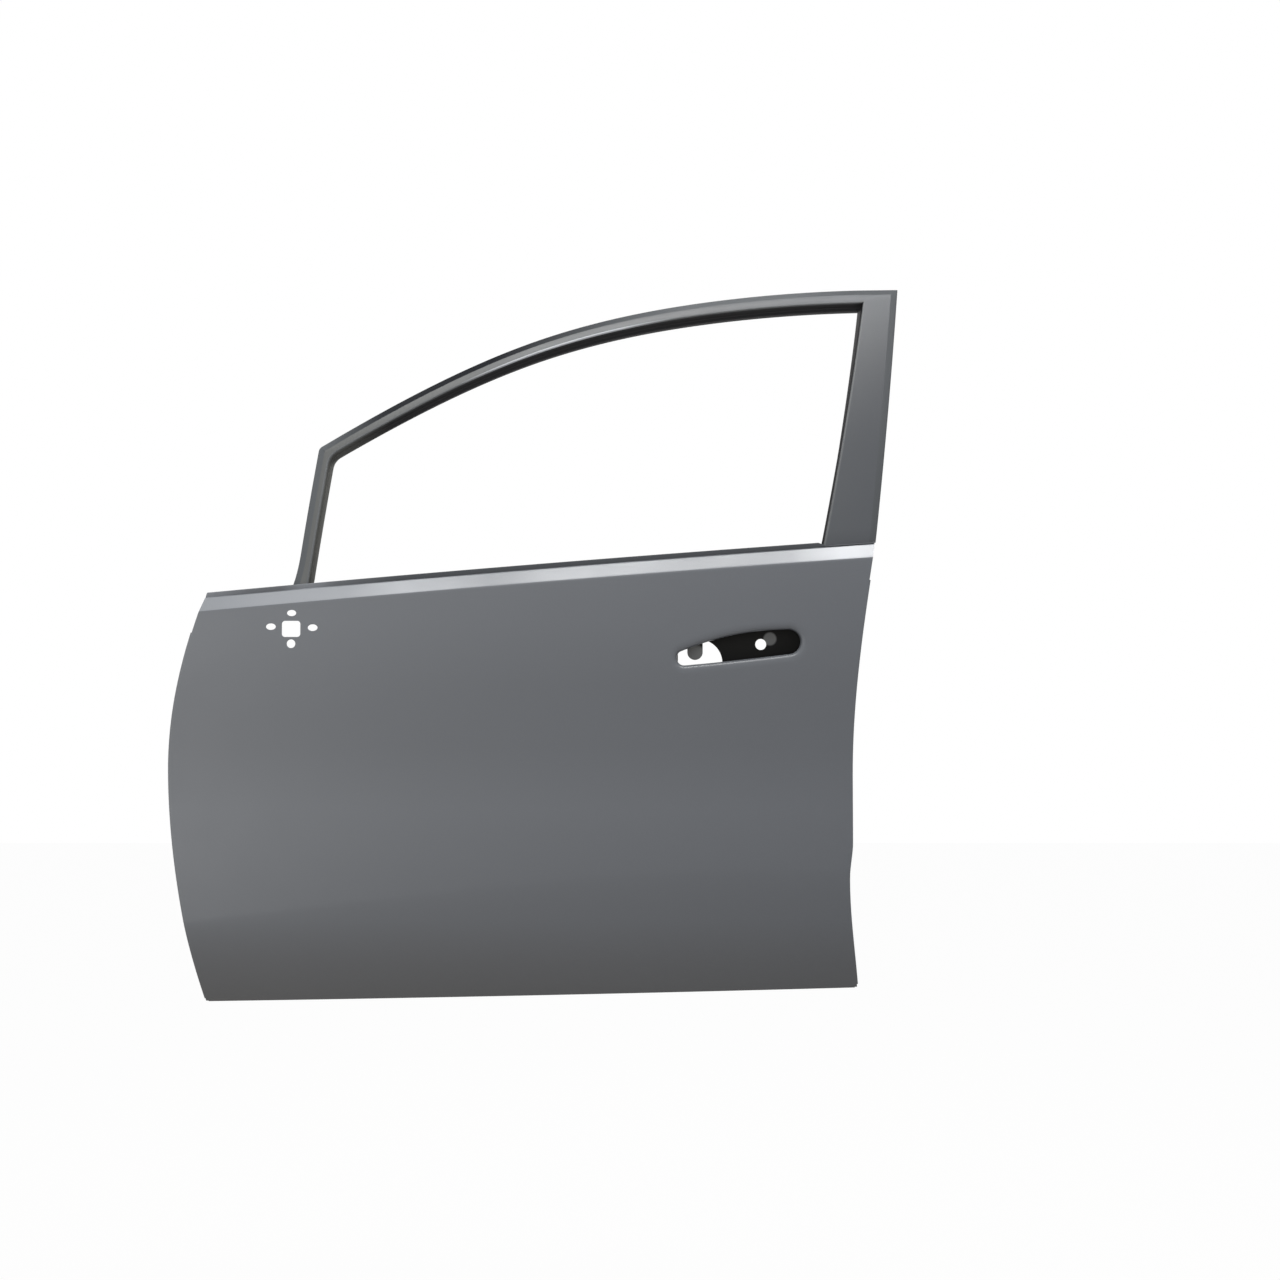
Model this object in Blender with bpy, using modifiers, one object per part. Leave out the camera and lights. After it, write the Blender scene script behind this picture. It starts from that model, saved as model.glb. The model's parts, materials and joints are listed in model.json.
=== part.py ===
"""Front left door shell of a small hatchback: pressed panels, window frame and stiffeners.

Metres. x runs rearwards, y into the car and z up, so the outer panel faces -y. The origin is
the middle of the upper hinge face.
"""

import math

import bmesh
import bpy
from mathutils import Matrix, Vector

# Sheet thicknesses and the clearances between pieces that touch
SKIN_T = 0.0008
INNER_T = 0.0008
FRAME_T = 0.0010
BELT_T = 0.0010
PLATE_T = 0.0020
SEAT = 0.0003
HEM_GAP = 0.0008

# Side view of the lower door
LENGTH = 1.108
CREASE_Z = 0.1165
CREASE_RISE = 0.0805
CREASE_ARCH = 0.003
SILL_Z = -0.5184
SILL_RISE = 0.0226
FRONT_TOP_X = 0.017
FRONT_TOP_SLOPE = 0.36
FRONT_BULGE_X = -0.040
FRONT_BULGE_Z = -0.135
FRONT_FOOT_X = 0.017
FRONT_FOOT_SLOPE = -0.24
REAR_TOP_SLOPE = 0.17
REAR_MID_IN = 0.0395
REAR_MID_Z = -0.150
REAR_WAIST_TOP_Z = -0.254
REAR_WAIST_IN = 0.0444
REAR_WAIST_Z = -0.311
REAR_FOOT_IN = 0.028
REAR_FOOT_SLOPE = -0.10

# Section of the outer panel, from the window down to the sill
BOW_X = 0.650
BOW_R = 13.0
SHOULDER_Y = -0.045
BAND_H = 0.0215
BAND_IN = 0.014
STRIP_H = 0.009
STRIP_STEP = 0.0025
STRIP_LEAN = 0.0012
STRIP_H_REAR = 0.003
STRIP_SILL = 0.001
STRIP_END = 0.022
CREASE_R = 0.003
BELT_HEM = 0.008
HEM = 0.012
HEM_NOTCH = 0.004
HEM_TOP_DROP = 0.030
HEM_MITRE = 0.8
PATCH_EDGE = 0.016
BODY_SECTION = (
    (0.00, 0.0000, 0.054),
    (0.18, 0.0065, 0.022),
    (0.38, 0.0085, 0.000),
    (0.55, 0.0095, 0.012),
    (0.78, 0.0145, 0.027),
    (1.00, 0.0190, 0.010),
)
FLANK_LINE = ((0.02, -0.379, 0.125), (0.74, -0.303, 0.06), (1.07, -0.298, 0.0))
TUCK = 0.034
TUCK_POWER = 1.6

# Window frame, outer line and face widths as seen from the side
UPRIGHT_SLOPE = 0.134
CORNER_X = 0.193
CORNER_Z = 0.391
ROOF_LINE = ((CORNER_X, CORNER_Z, 0.62), (0.556, 0.578, 0.36), (0.861, 0.648, 0.13))
ROOF_END_X = 1.162
ROOF_END_Z = 0.667
POST_SLOPE = 0.118
UPRIGHT_W = 0.0195
HEADER_W = 0.0205
POST_W_TOP = 0.0565
POST_W_BELT = 0.0800
FRAME_Y = -0.0265
FRAME_FOOT_H = 0.030
FRAME_LEAN = math.tan(math.radians(8))
FRAME_R = 1.250
FRAME_DEPTH = 0.036
CHANNEL_DEPTH = 0.014
LIP_W = 0.0095
LIP_W_POST = 0.0070
UPRIGHT_DROP = 0.004
POST_DROP = 0.060
POST_NOTCH_IN = 0.032
POST_FLARE = 1.3
POST_CORNER_RUN = 0.012
CORNER_R_OUT = 0.006
CORNER_R_IN = 0.016
UPRIGHT_STEPS = 3
HEADER_STEPS = 11
POST_STEPS = 4

# Mirror holes, sizes as seen from the side
MIRROR_X = 0.1605
MIRROR_Z = 0.0895
MIRROR_SQUARE = (0.030, 0.026, 0.005)
MIRROR_OVALS = ((0.0005, 0.0257, 0.015, 0.010), (-0.033, 0.0036, 0.016, 0.0105),
                (0.035, 0.0020, 0.016, 0.0108), (0.0001, -0.0240, 0.014, 0.014))

# Handle opening: two round ends joined by a straight lower edge and an arched upper one
HANDLE_FRONT = (0.7189 * LENGTH, 0.0425, 0.0125)
HANDLE_REAR = (0.8705 * LENGTH, 0.0687, 0.0204)
HANDLE_ARCH = 0.0075
HANDLE_SAG = 0.0008
HANDLE_DIP = ((0.014, 0.0), (0.006, 0.0008), (0.0015, 0.0026), (0.0, 0.0050), (-0.0004, 0.0100))
POCKET_RIM = 0.030
POCKET_RIM_IN = 0.018
POCKET_FLOOR_OUT = 0.009
POCKET_DEPTH = 0.034
POCKET_T = 0.0012
POCKET_BORE = (0.7414 * LENGTH, 0.0345, 0.0375)
POCKET_EYE = (0.8317 * LENGTH, 0.0642, 0.0090)
POCKET_LUG = (0.7351 * LENGTH, 0.0250, 0.0390)

# Inner panel: rim, wall, land and trim face of the tray
LAND_Y = 0.040
TRIM_Y = 0.062
RIM_CLEAR = 0.0028
RIM_W = 0.0125
WALL_IN = 0.0165
WALL_DRAFT_FRONT = 0.0095
WALL_DRAFT = 0.0055
PRESS_R = 0.004
LAND_W = 0.022
LAND_W_BELT = 0.085
TRIM_DRAFT = 0.012
RIM_TOP_H = 0.019
WALL_TOP_H = 0.010

# Heights at which the tray's sides have points beside those of the faces below
FRONT_STATIONS = (-0.475, -0.455, -0.430, -0.400, -0.255, -0.088, 0.070, 0.100)
REAR_STATIONS = (-0.452, -0.430, -0.405, -0.380, -0.350, -0.325, -0.305, -0.280, -0.254, -0.200,
                 -0.150, -0.055, 0.045, 0.080, 0.115, 0.150, 0.185)

# Faces on the front and rear walls, widths along y and heights along z
HINGE_DROP = 0.340
HINGE_FACE = (0.048, 0.070)
STRAP_Z = -0.170
STRAP_X = -0.012
STRAP_FACE = (0.044, 0.060)
LATCH_Z = -0.055
LATCH_Y = 0.004
LATCH_IN = 0.0205
LATCH_FACE = (0.046, 0.110)
LATCH_MOUTH = (0.022, 0.042)
PAD_DRAFT = 0.006
BOLT_D = 0.0110
BOLT_PITCH = 0.044
NUT_D = 0.0190
NUT_H = 0.0080

# Openings of the inner panel: centre x, centre z, width, height, corner radius
MIRROR_ACCESS = (0.150, 0.091, 0.110, 0.066, 0.020)
FRONT_ACCESS = (0.4242 * LENGTH, -0.235, 0.2347 * LENGTH, 0.320, 0.050)
REAR_ACCESS = (0.6859 * LENGTH, -0.270, 0.1625 * LENGTH, 0.250, 0.045)
HANDLE_ACCESS = (0.7870 * LENGTH, 0.040, 0.1516 * LENGTH, 0.092, 0.030)
PULL_ACCESS = (0.5054 * LENGTH, 0.020, 0.1083 * LENGTH, 0.050, 0.020)
ACCESS_LIP = 0.006
SPEAKER = (0.1850 * LENGTH, -0.320)
SPEAKER_D = 0.156
SPEAKER_SEAT_W = 0.014
SPEAKER_SEAT_IN = 0.008
CLIP_D = 0.008
CLIPS = ((0.062, -0.180), (0.082, -0.415), (0.3023 * LENGTH, -0.425), (0.5776 * LENGTH, -0.425),
         (0.8394 * LENGTH, -0.415), (0.8890 * LENGTH, -0.250), (0.8890 * LENGTH, -0.020), (0.2708 * LENGTH, 0.000))
BEADS = ((0.5614 * LENGTH, -0.250, 0.022, 0.250), (0.1850 * LENGTH, -0.150, 0.1354 * LENGTH, 0.022),
         (0.8258 * LENGTH, -0.270, 0.022, 0.200))
BEAD_RISE = 0.004
DRAIN_X = (0.1354 * LENGTH, 0.5054 * LENGTH, 0.8664 * LENGTH)
DRAIN = (0.024, 0.008)
GROMMET_Z = -0.250
GROMMET_D = 0.026

# Glass slot through the top of the inner panel
SLOT_X = 0.150
SLOT_Y = 0.022
SLOT_DROP = 0.030
SLOT_REAR_IN = 0.026

# Stiffeners
OUTER_BELT_X = (0.225, 1.050)
INNER_BELT_X = (0.275, 1.028)
BELT_HAT = 0.0105
MIRROR_PLATE = (0.108, 0.082)
PLATE_GAP = 0.0008
STIFFENER_X = (0.180, 0.985)
STIFFENER_Z = -0.060
STIFFENER_H = 0.048
STIFFENER_HAT = 0.009
MASTIC = 0.003
BEAM_R = 0.0150
BEAM_T = 0.0020
BEAM_FRONT = (0.020, -0.088)
BEAM_REAR_IN = 0.055
BEAM_REAR_Z = -0.290
BEAM_CLEAR = 0.006
BEAM_FLAT = 0.070
BEAM_TAPER = 0.050
BEAM_FLAT_H = 0.0070
BEAM_BRACKET_H = 0.070
BRACKET_CLEAR = 0.0009
BRACKET_FOOT = 0.024
BRACKET_REACH = 0.095
PAD_D = 0.030
FRONT_SASH_X = (0.162, 0.214, 0.238, 0.262)
FRONT_SASH_Z = (0.1285, 0.1415)
REAR_SASH_X = (1.034, 1.050, 1.056, 1.067)
REAR_SASH_Z = (0.150, 0.190)


def mix(a, b, share):
    return a + (b - a) * share


def curve_at(stations, place):
    """Value of a smooth curve through (place, value, slope) stations, straight past its ends."""
    first, last = stations[0], stations[-1]
    if place <= first[0]:
        return first[1] + first[2] * (place - first[0])
    if place >= last[0]:
        return last[1] + last[2] * (place - last[0])
    for (p0, v0, s0), (p1, v1, s1) in zip(stations, stations[1:]):
        if place <= p1:
            span = p1 - p0
            k = (place - p0) / span
            start = v0 * (1 + 2 * k) * (1 - k) ** 2 + s0 * span * k * (1 - k) ** 2
            return start + v1 * k * k * (3 - 2 * k) + s1 * span * k * k * (k - 1)
    return last[1]


# Lines of the door in its side view
def crease_z(x):
    half = LENGTH / 2
    return CREASE_Z + CREASE_RISE * x + CREASE_ARCH * (1 - ((x - half) / half) ** 2)


def sill_z(x):
    return SILL_Z + SILL_RISE * x


def flank_z(x):
    return curve_at(FLANK_LINE, x)


def front_x(z):
    top = (crease_z(0) + BAND_H + STRIP_H, FRONT_TOP_X, FRONT_TOP_SLOPE)
    bulge = (FRONT_BULGE_Z, FRONT_BULGE_X, 0)
    return curve_at(((SILL_Z, FRONT_FOOT_X, FRONT_FOOT_SLOPE), bulge, top), z)


def rear_x(z):
    return curve_at((
        (sill_z(LENGTH), LENGTH - REAR_FOOT_IN, REAR_FOOT_SLOPE),
        (REAR_WAIST_Z, LENGTH - REAR_WAIST_IN, 0),
        (REAR_WAIST_TOP_Z, LENGTH - REAR_MID_IN, 0),
        (REAR_MID_Z, LENGTH - REAR_MID_IN, 0),
        (crease_z(LENGTH) + BAND_H, LENGTH, REAR_TOP_SLOPE),
    ), z)


# Surface of the outer panel
def bow(x):
    return (x - BOW_X) ** 2 / (2 * BOW_R)


def skin_y(x, z):
    height = z - crease_z(x)
    if height >= 0:
        return bow(x) + SHOULDER_Y + BAND_IN * height / BAND_H
    line = flank_z(x)
    if z >= line:
        swell = curve_at(BODY_SECTION, height / (line - crease_z(x)))
    else:
        swell = BODY_SECTION[-1][1] - TUCK * ((line - z) / (line - sill_z(x))) ** TUCK_POWER
    return bow(x) + SHOULDER_Y - swell


def inward(x, z, surface=skin_y, step=0.0004):
    """Unit normal of a surface y(x, z), pointing into the car."""
    rise_x = (surface(x + step, z) - surface(x - step, z)) / (2 * step)
    rise_z = (surface(x, z + step) - surface(x, z - step)) / (2 * step)
    return Vector((-rise_x, 1, -rise_z)).normalized()


def behind_skin(x, z, depth=0.0):
    """The point behind (x, z) that lies this deep under the outer panel's outer face."""
    return Vector((x, skin_y(x, z) + depth / inward(x, z).y, z))


def frame_y(x, z):
    lift = max(z - crease_z(x) - FRAME_FOOT_H, 0)
    return bow(x) + FRAME_Y + FRAME_LEAN * lift + lift * lift / (2 * FRAME_R)


# Materials
def finish(name, colour, roughness, metallic=0.0):
    material = bpy.data.materials.new(name)
    material.use_nodes = True
    shader = material.node_tree.nodes["Principled BSDF"]
    shader.inputs["Base Color"].default_value = (*colour, 1)
    shader.inputs["Roughness"].default_value = roughness
    shader.inputs["Metallic"].default_value = metallic
    return material


# Outlines in the side view, as closed lists of (x, z)
def arc(x, z, radius, start, end, steps):
    angles = [math.radians(mix(start, end, k / steps)) for k in range(steps + 1)]
    return [(x + radius * math.cos(a), z + radius * math.sin(a)) for a in angles]


def rounded_box(x, z, width, height, radius, steps=3):
    radius = min(radius, width / 2 - 1e-4, height / 2 - 1e-4)
    dx, dz = width / 2 - radius, height / 2 - radius
    corners = ((dx, dz, 0), (-dx, dz, 90), (-dx, -dz, 180), (dx, -dz, 270))
    return [p for cx, cz, turn in corners
            for p in arc(x + cx, z + cz, radius, turn, turn + 90, steps)]


def ellipse(x, z, width, height, count=16):
    turns = [2 * math.pi * k / count for k in range(count)]
    return [(x + width / 2 * math.cos(t), z + height / 2 * math.sin(t)) for t in turns]


def outset(outline, distance):
    """Moves each point of an anticlockwise outline outwards by the distance."""
    moved = []
    for k, (x, z) in enumerate(outline):
        before = Vector(outline[k - 1])
        after = Vector(outline[(k + 1) % len(outline)])
        here = Vector((x, z))
        a, b = (here - before).normalized(), (after - here).normalized()
        na, nb = Vector((a.y, -a.x)), Vector((b.y, -b.x))
        point = here + (na + nb) * (distance / (1 + na.dot(nb)))
        moved.append((point.x, point.y))
    return moved


def handle_outline():
    """The handle opening, anticlockwise from the lower rear."""
    fx, fz, fr = HANDLE_FRONT
    rx, rz, rr = HANDLE_REAR
    rear = arc(rx, rz, rr, -80, 100, 8)
    front = arc(fx, fz, fr, 125, 275, 6)
    (ax, az), (bx, bz) = rear[-1], front[0]
    crown = [(mix(ax, bx, t), mix(az, bz, t) + HANDLE_ARCH * 4 * t * (1 - t))
             for t in (0.2, 0.4, 0.6, 0.8)]
    (cx, cz), (dx, dz) = front[-1], rear[0]
    lower = [(mix(cx, dx, t), mix(cz, dz, t) - HANDLE_SAG * 4 * t * (1 - t))
             for t in (0.2, 0.4, 0.6, 0.8)]
    return rear + crown + front + lower


def mirror_outlines(grow=0.0):
    width, height, radius = MIRROR_SQUARE
    outlines = [rounded_box(MIRROR_X, MIRROR_Z, width + grow, height + grow, radius)]
    for dx, dz, wide, high in MIRROR_OVALS:
        outlines.append(ellipse(MIRROR_X + dx, MIRROR_Z + dz, wide + grow, high + grow, 12))
    return outlines


# Mesh helpers
def add_object(name, data, material, collection):
    thing = bpy.data.objects.new(name, data)
    data.materials.append(material)
    collection.objects.link(thing)
    return thing


def face_towards(bm, direction):
    """Makes an open sheet's faces agree and point mostly along the direction."""
    bmesh.ops.recalc_face_normals(bm, faces=bm.faces)
    total = sum((f.normal * f.calc_area() for f in bm.faces), Vector())
    if total.dot(direction) < 0:
        bmesh.ops.reverse_faces(bm, faces=bm.faces)


def sheet_object(name, bm, thickness, material, collection):
    """Gives an open sheet its thickness, behind the side that its faces point to."""
    mesh = bpy.data.meshes.new(name)
    bm.to_mesh(mesh)
    bm.free()
    mesh.shade_smooth()
    mesh.set_sharp_from_angle(angle=math.radians(35))
    thing = add_object(name, mesh, material, collection)
    wall = thing.modifiers.new("wall", "SOLIDIFY")
    wall.thickness = thickness
    wall.offset = -1
    wall.use_even_offset = True
    return thing


def grid_sheet(rows):
    """A grid with one vertex for each point of the rows, and its vertices by (column, row)."""
    bm = bmesh.new()
    across, up = len(rows[0]) - 1, len(rows) - 1
    made = bmesh.ops.create_grid(bm, x_segments=across, y_segments=up, size=0.5)["verts"]
    verts = {}
    for vert in made:
        column = round((vert.co.x + 0.5) * across)
        row = round((vert.co.y + 0.5) * up)
        verts[column, row] = vert
    for (column, row), vert in verts.items():
        vert.co = rows[row][column]
    bm.normal_update()
    return bm, verts


def ribbon(name, rows, thickness, outer, material, collection):
    """A pressed strip through rows of points, its outer side facing the given direction."""
    bm, verts = grid_sheet(rows)
    face_towards(bm, Vector(outer))
    return sheet_object(name, bm, thickness, material, collection)


def ring_edges(ring):
    pairs = zip(ring, ring[1:] + ring[:1])
    return [next(e for e in a.link_edges if e.other_vert(a) is b) for a, b in pairs]


def first_ring(bm, points):
    made = bmesh.ops.create_circle(bm, segments=len(points), radius=1)["verts"]
    ring = sorted(made, key=lambda v: math.atan2(v.co.y, v.co.x))
    for vert, point in zip(ring, points):
        vert.co = point
    return ring


def next_ring(bm, ring, points):
    """Extrudes a closed ring of vertices onto the next ring of points."""
    made = bmesh.ops.extrude_edge_only(bm, edges=ring_edges(ring))["geom"]
    fresh = {v for v in made if isinstance(v, bmesh.types.BMVert)}
    grown = [next(e.other_vert(v) for e in v.link_edges if e.other_vert(v) in fresh)
             for v in ring]
    for vert, point in zip(grown, points):
        vert.co = point
    return grown


def fill_between(bm, edges, normal):
    bmesh.ops.triangle_fill(bm, edges=edges, use_beauty=True, normal=normal)


def flat_plate(name, outlines, thickness, place, material, collection):
    """A flat plate from closed outlines, the first its edge and the others its holes."""
    curve = bpy.data.curves.new(name, "CURVE")
    curve.dimensions = "2D"
    curve.fill_mode = "BOTH"
    curve.extrude = thickness / 2
    for outline in outlines:
        spline = curve.splines.new("POLY")
        spline.points.add(len(outline) - 1)
        spline.use_cyclic_u = True
        for point, (a, b) in zip(spline.points, outline):
            point.co = (a, b, 0, 1)
    thing = add_object(name, curve, material, collection)
    thing.matrix_world = place
    return thing


def across_y(x, y, z):
    """Places a plate's outline in the side view, with its thickness along y."""
    return Matrix.Translation((x, y, z)) @ Matrix.Rotation(math.radians(90), 4, "X")


def across_x(x, y, z):
    """Places a plate's outline in a wall that faces along x: outline (y, z)."""
    turn = Matrix(((0, 0, 1, 0), (1, 0, 0, 0), (0, 1, 0, 0), (0, 0, 0, 1)))
    return Matrix.Translation((x, y, z)) @ turn


def as_cutter(thing):
    thing.hide_render = True
    thing.display_type = "WIRE"
    return thing


def prism_cutter(name, outline, place, length, collection):
    """A cutter that extrudes an outline this far along the local z of the placing matrix."""
    bm = bmesh.new()
    ring = first_ring(bm, [Vector((a, b, -length / 2)) for a, b in outline])
    foot = bmesh.ops.contextual_create(bm, geom=ring_edges(ring))["faces"]
    ring = next_ring(bm, ring, [Vector((a, b, length / 2)) for a, b in outline])
    bmesh.ops.contextual_create(bm, geom=ring_edges(ring))
    bmesh.ops.recalc_face_normals(bm, faces=bm.faces)
    if foot[0].normal.z > 0:
        bmesh.ops.reverse_faces(bm, faces=bm.faces)
    mesh = bpy.data.meshes.new(name)
    bm.to_mesh(mesh)
    bm.free()
    cutter = bpy.data.objects.new(name, mesh)
    cutter.matrix_world = place
    collection.objects.link(cutter)
    return as_cutter(cutter)


def block_cutter(name, low, high, collection, move=None):
    """A box cutter between two corners, whose points a function may move."""
    bm = bmesh.new()
    for vert in bmesh.ops.create_cube(bm, size=1)["verts"]:
        vert.co = Vector(mix(a, b, c + 0.5) for a, b, c in zip(low, high, vert.co))
        if move:
            vert.co = move(vert.co)
    bmesh.ops.recalc_face_normals(bm, faces=bm.faces)
    mesh = bpy.data.meshes.new(name)
    bm.to_mesh(mesh)
    bm.free()
    cutter = bpy.data.objects.new(name, mesh)
    collection.objects.link(cutter)
    return as_cutter(cutter)


def cut(thing, *cutters):
    for cutter in cutters:
        hole = thing.modifiers.new(cutter.name, "BOOLEAN")
        hole.operation = "DIFFERENCE"
        hole.solver = "EXACT"
        hole.object = cutter


# Outer panel
HEM_R = SKIN_T + HEM_GAP + INNER_T / 2
BELT_HEM_R = SKIN_T + SEAT
FOLD_TURNS = (90, 180)


def row_z(x, share):
    return mix(sill_z(x) + HEM_R, crease_z(x) - CREASE_R, share)


def column_x(z, share):
    return mix(front_x(z) + HEM_R, rear_x(z) - HEM_R, share)


def skin_place(u, w):
    """Side view point at shares u of the length and w of the height up to the crease."""
    x = u * LENGTH
    for _ in range(8):
        z = row_z(x, w)
        x = column_x(z, u)
    return x, z


def spread(stations, longest):
    """Fills the gaps between sorted stations so that none is longer than given."""
    filled = [stations[0]]
    for a, b in zip(stations, stations[1:]):
        steps = max(1, math.ceil((b - a) / longest - 1e-6))
        filled += [mix(a, b, k / steps) for k in range(1, steps + 1)]
    return filled


def patch_limits():
    """Side view boxes filled round the mirror holes and the handle opening: x, x, z, z."""
    reach = HANDLE_DIP[0][0] + PATCH_EDGE
    handle = (HANDLE_FRONT[0] - HANDLE_FRONT[2] - reach, HANDLE_REAR[0] + HANDLE_REAR[2] + reach,
              HANDLE_FRONT[1] - HANDLE_FRONT[2] - reach, HANDLE_REAR[1] + HANDLE_REAR[2] + reach)
    left, right = (min(o[0] - o[2] / 2 for o in MIRROR_OVALS),
                   max(o[0] + o[2] / 2 for o in MIRROR_OVALS))
    foot = min(o[1] - o[3] / 2 for o in MIRROR_OVALS)
    mirror = (MIRROR_X + left - PATCH_EDGE, MIRROR_X + right + PATCH_EDGE,
              MIRROR_Z + foot - PATCH_EDGE, None)
    return mirror, handle


def length_share(x, z):
    return (x - column_x(z, 0)) / (column_x(z, 1) - column_x(z, 0))


def height_share(x, z):
    return (z - row_z(x, 0)) / (row_z(x, 1) - row_z(x, 0))


def skin_stations():
    """Shares of the length and of the height at which the outer panel has its grid lines."""
    mirror, handle = patch_limits()
    span = column_x(0, 1) - column_x(0, 0)
    notch, hem = HEM_NOTCH / span, (HEM_NOTCH + HEM) / span
    columns = [0, notch, hem, 1 - hem, 1 - notch, 1]
    columns += [length_share(x, MIRROR_Z) for x in mirror[:2]]
    columns += [length_share(x, HANDLE_REAR[1]) for x in handle[:2]]
    height = row_z(0, 1) - row_z(0, 0)
    middle = (handle[0] + handle[1]) / 2
    rows = [0, HEM_NOTCH / height, (HEM_NOTCH + HEM) / height]
    rows += [height_share(LENGTH / 2, flank_z(LENGTH / 2)), 1 - HEM_TOP_DROP / height, 1]
    rows += [height_share(LENGTH / 2, flank_z(LENGTH / 2)) * share for share in (0.30, 0.62)]
    rows += [height_share(middle, z) for z in handle[2:]]
    rows.append(height_share(MIRROR_X, mirror[2]))
    return spread(sorted(columns), 0.080), spread(sorted(rows), 0.085)


def nearest(stations, value):
    return min(range(len(stations)), key=lambda k: abs(stations[k] - value))


def strip_h(x):
    """Height of the strip over the shoulder band, cut short where the rear post passes."""
    post = post_inner_x(crease_z(LENGTH) + BAND_H)
    share = min(max((x - post + STRIP_END) / STRIP_END, 0), 1)
    return mix(STRIP_H, STRIP_H_REAR, share)


def shoulder_profile(x):
    """(height over the crease, y before the bow) up the shoulder band, strip and belt hem."""
    top = BAND_H + strip_h(x) - BELT_HEM_R
    foot = SHOULDER_Y + BAND_IN + STRIP_STEP
    head = foot - STRIP_LEAN
    profile = [(CREASE_R, SHOULDER_Y + BAND_IN * CREASE_R / BAND_H),
               (BAND_H, SHOULDER_Y + BAND_IN),
               (BAND_H + STRIP_SILL, foot),
               (top, head)]
    for turn in FOLD_TURNS:
        angle = math.radians(turn)
        across = BELT_HEM_R * (1 - math.cos(angle))
        profile.append((top + BELT_HEM_R * math.sin(angle), head + across))
    profile.append((top - BELT_HEM, head + 2 * BELT_HEM_R))
    return profile


def fold_points(edge, normal, towards, width):
    """Points round a hem, from its first bend to the free edge of the inner ply."""
    centre = edge + normal * HEM_R
    turns = [math.radians(a) for a in FOLD_TURNS]
    points = [centre - (towards * math.sin(a) + normal * math.cos(a)) * HEM_R for a in turns]
    return points + [edge + normal * 2 * HEM_R + towards * width]


def hem_width(distance):
    """The hem's width at a distance from a corner, where it narrows to a mitre."""
    return min(HEM, HEM_NOTCH / 2 + HEM_MITRE * max(distance - HEM_NOTCH, 0))


def hem_line(place, share, inside):
    """Point, inward normal and direction into the panel at a share of a hemmed edge."""
    x, z = place(share)
    ahead, back = Vector(place(min(share + 0.01, 1))), Vector(place(max(share - 0.01, 0)))
    run = (ahead - back).normalized()
    normal = inward(x, z)
    along = Vector((run.x, -(normal.x * run.x + normal.z * run.y) / normal.y, run.y))
    towards = along.normalized().cross(normal)
    if towards.dot(inside) < 0:
        towards.negate()
    return behind_skin(x, z), normal, towards


def skin_rows(columns, rows):
    """The grid of points of the outer panel, with None where hems would cross at a corner."""
    none = [None] * (len(FOLD_TURNS) + 1)
    sill = []
    for u in columns:
        edge, normal, towards = hem_line(lambda t: skin_place(t, 0), u, Vector((0, 0, 1)))
        sill.append(fold_points(edge, normal, towards, hem_width(min(u, 1 - u) * LENGTH)))
    points = [none + list(line) + none for line in reversed(list(zip(*sill)))]
    for w in rows:
        sides = []
        for u, inside in ((0, Vector((1, 0, 0))), (1, Vector((-1, 0, 0)))):
            edge, normal, towards = hem_line(lambda t: skin_place(u, t), w, inside)
            width = hem_width(edge.z - row_z(edge.x, 0))
            sides.append(fold_points(edge, normal, towards, width))
        line = [behind_skin(*skin_place(u, w)) for u in columns]
        points.append(sides[0][::-1] + line + sides[1])
    for step in range(len(shoulder_profile(0))):
        line = []
        for u in columns:
            x, z = skin_place(u, 1)
            for _ in range(4):
                height, depth = shoulder_profile(x)[step]
                z = crease_z(x) + height
                x = column_x(z, u)
            line.append(Vector((x, bow(x) + depth, z)))
        points.append(none + line + none)
    spare = Vector((0, 0, 0))
    return [[p or spare for p in row] for row in points]


def cells_of(bm, spots):
    """The grid's faces by the (column, row) of their first corner."""
    cells = {}
    for face in bm.faces:
        corners = [spots[v] for v in face.verts if v in spots]
        if len(corners) == 4:
            cells[min(c[0] for c in corners), min(c[1] for c in corners)] = face
    return cells


def open_patch(bm, faces):
    """Removes the faces and gives the edges round the hole that they leave."""
    chosen = set(faces)
    border = [e for f in faces for e in f.edges if sum(g in chosen for g in e.link_faces) == 1]
    bmesh.ops.delete(bm, geom=faces, context="FACES")
    return border


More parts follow.
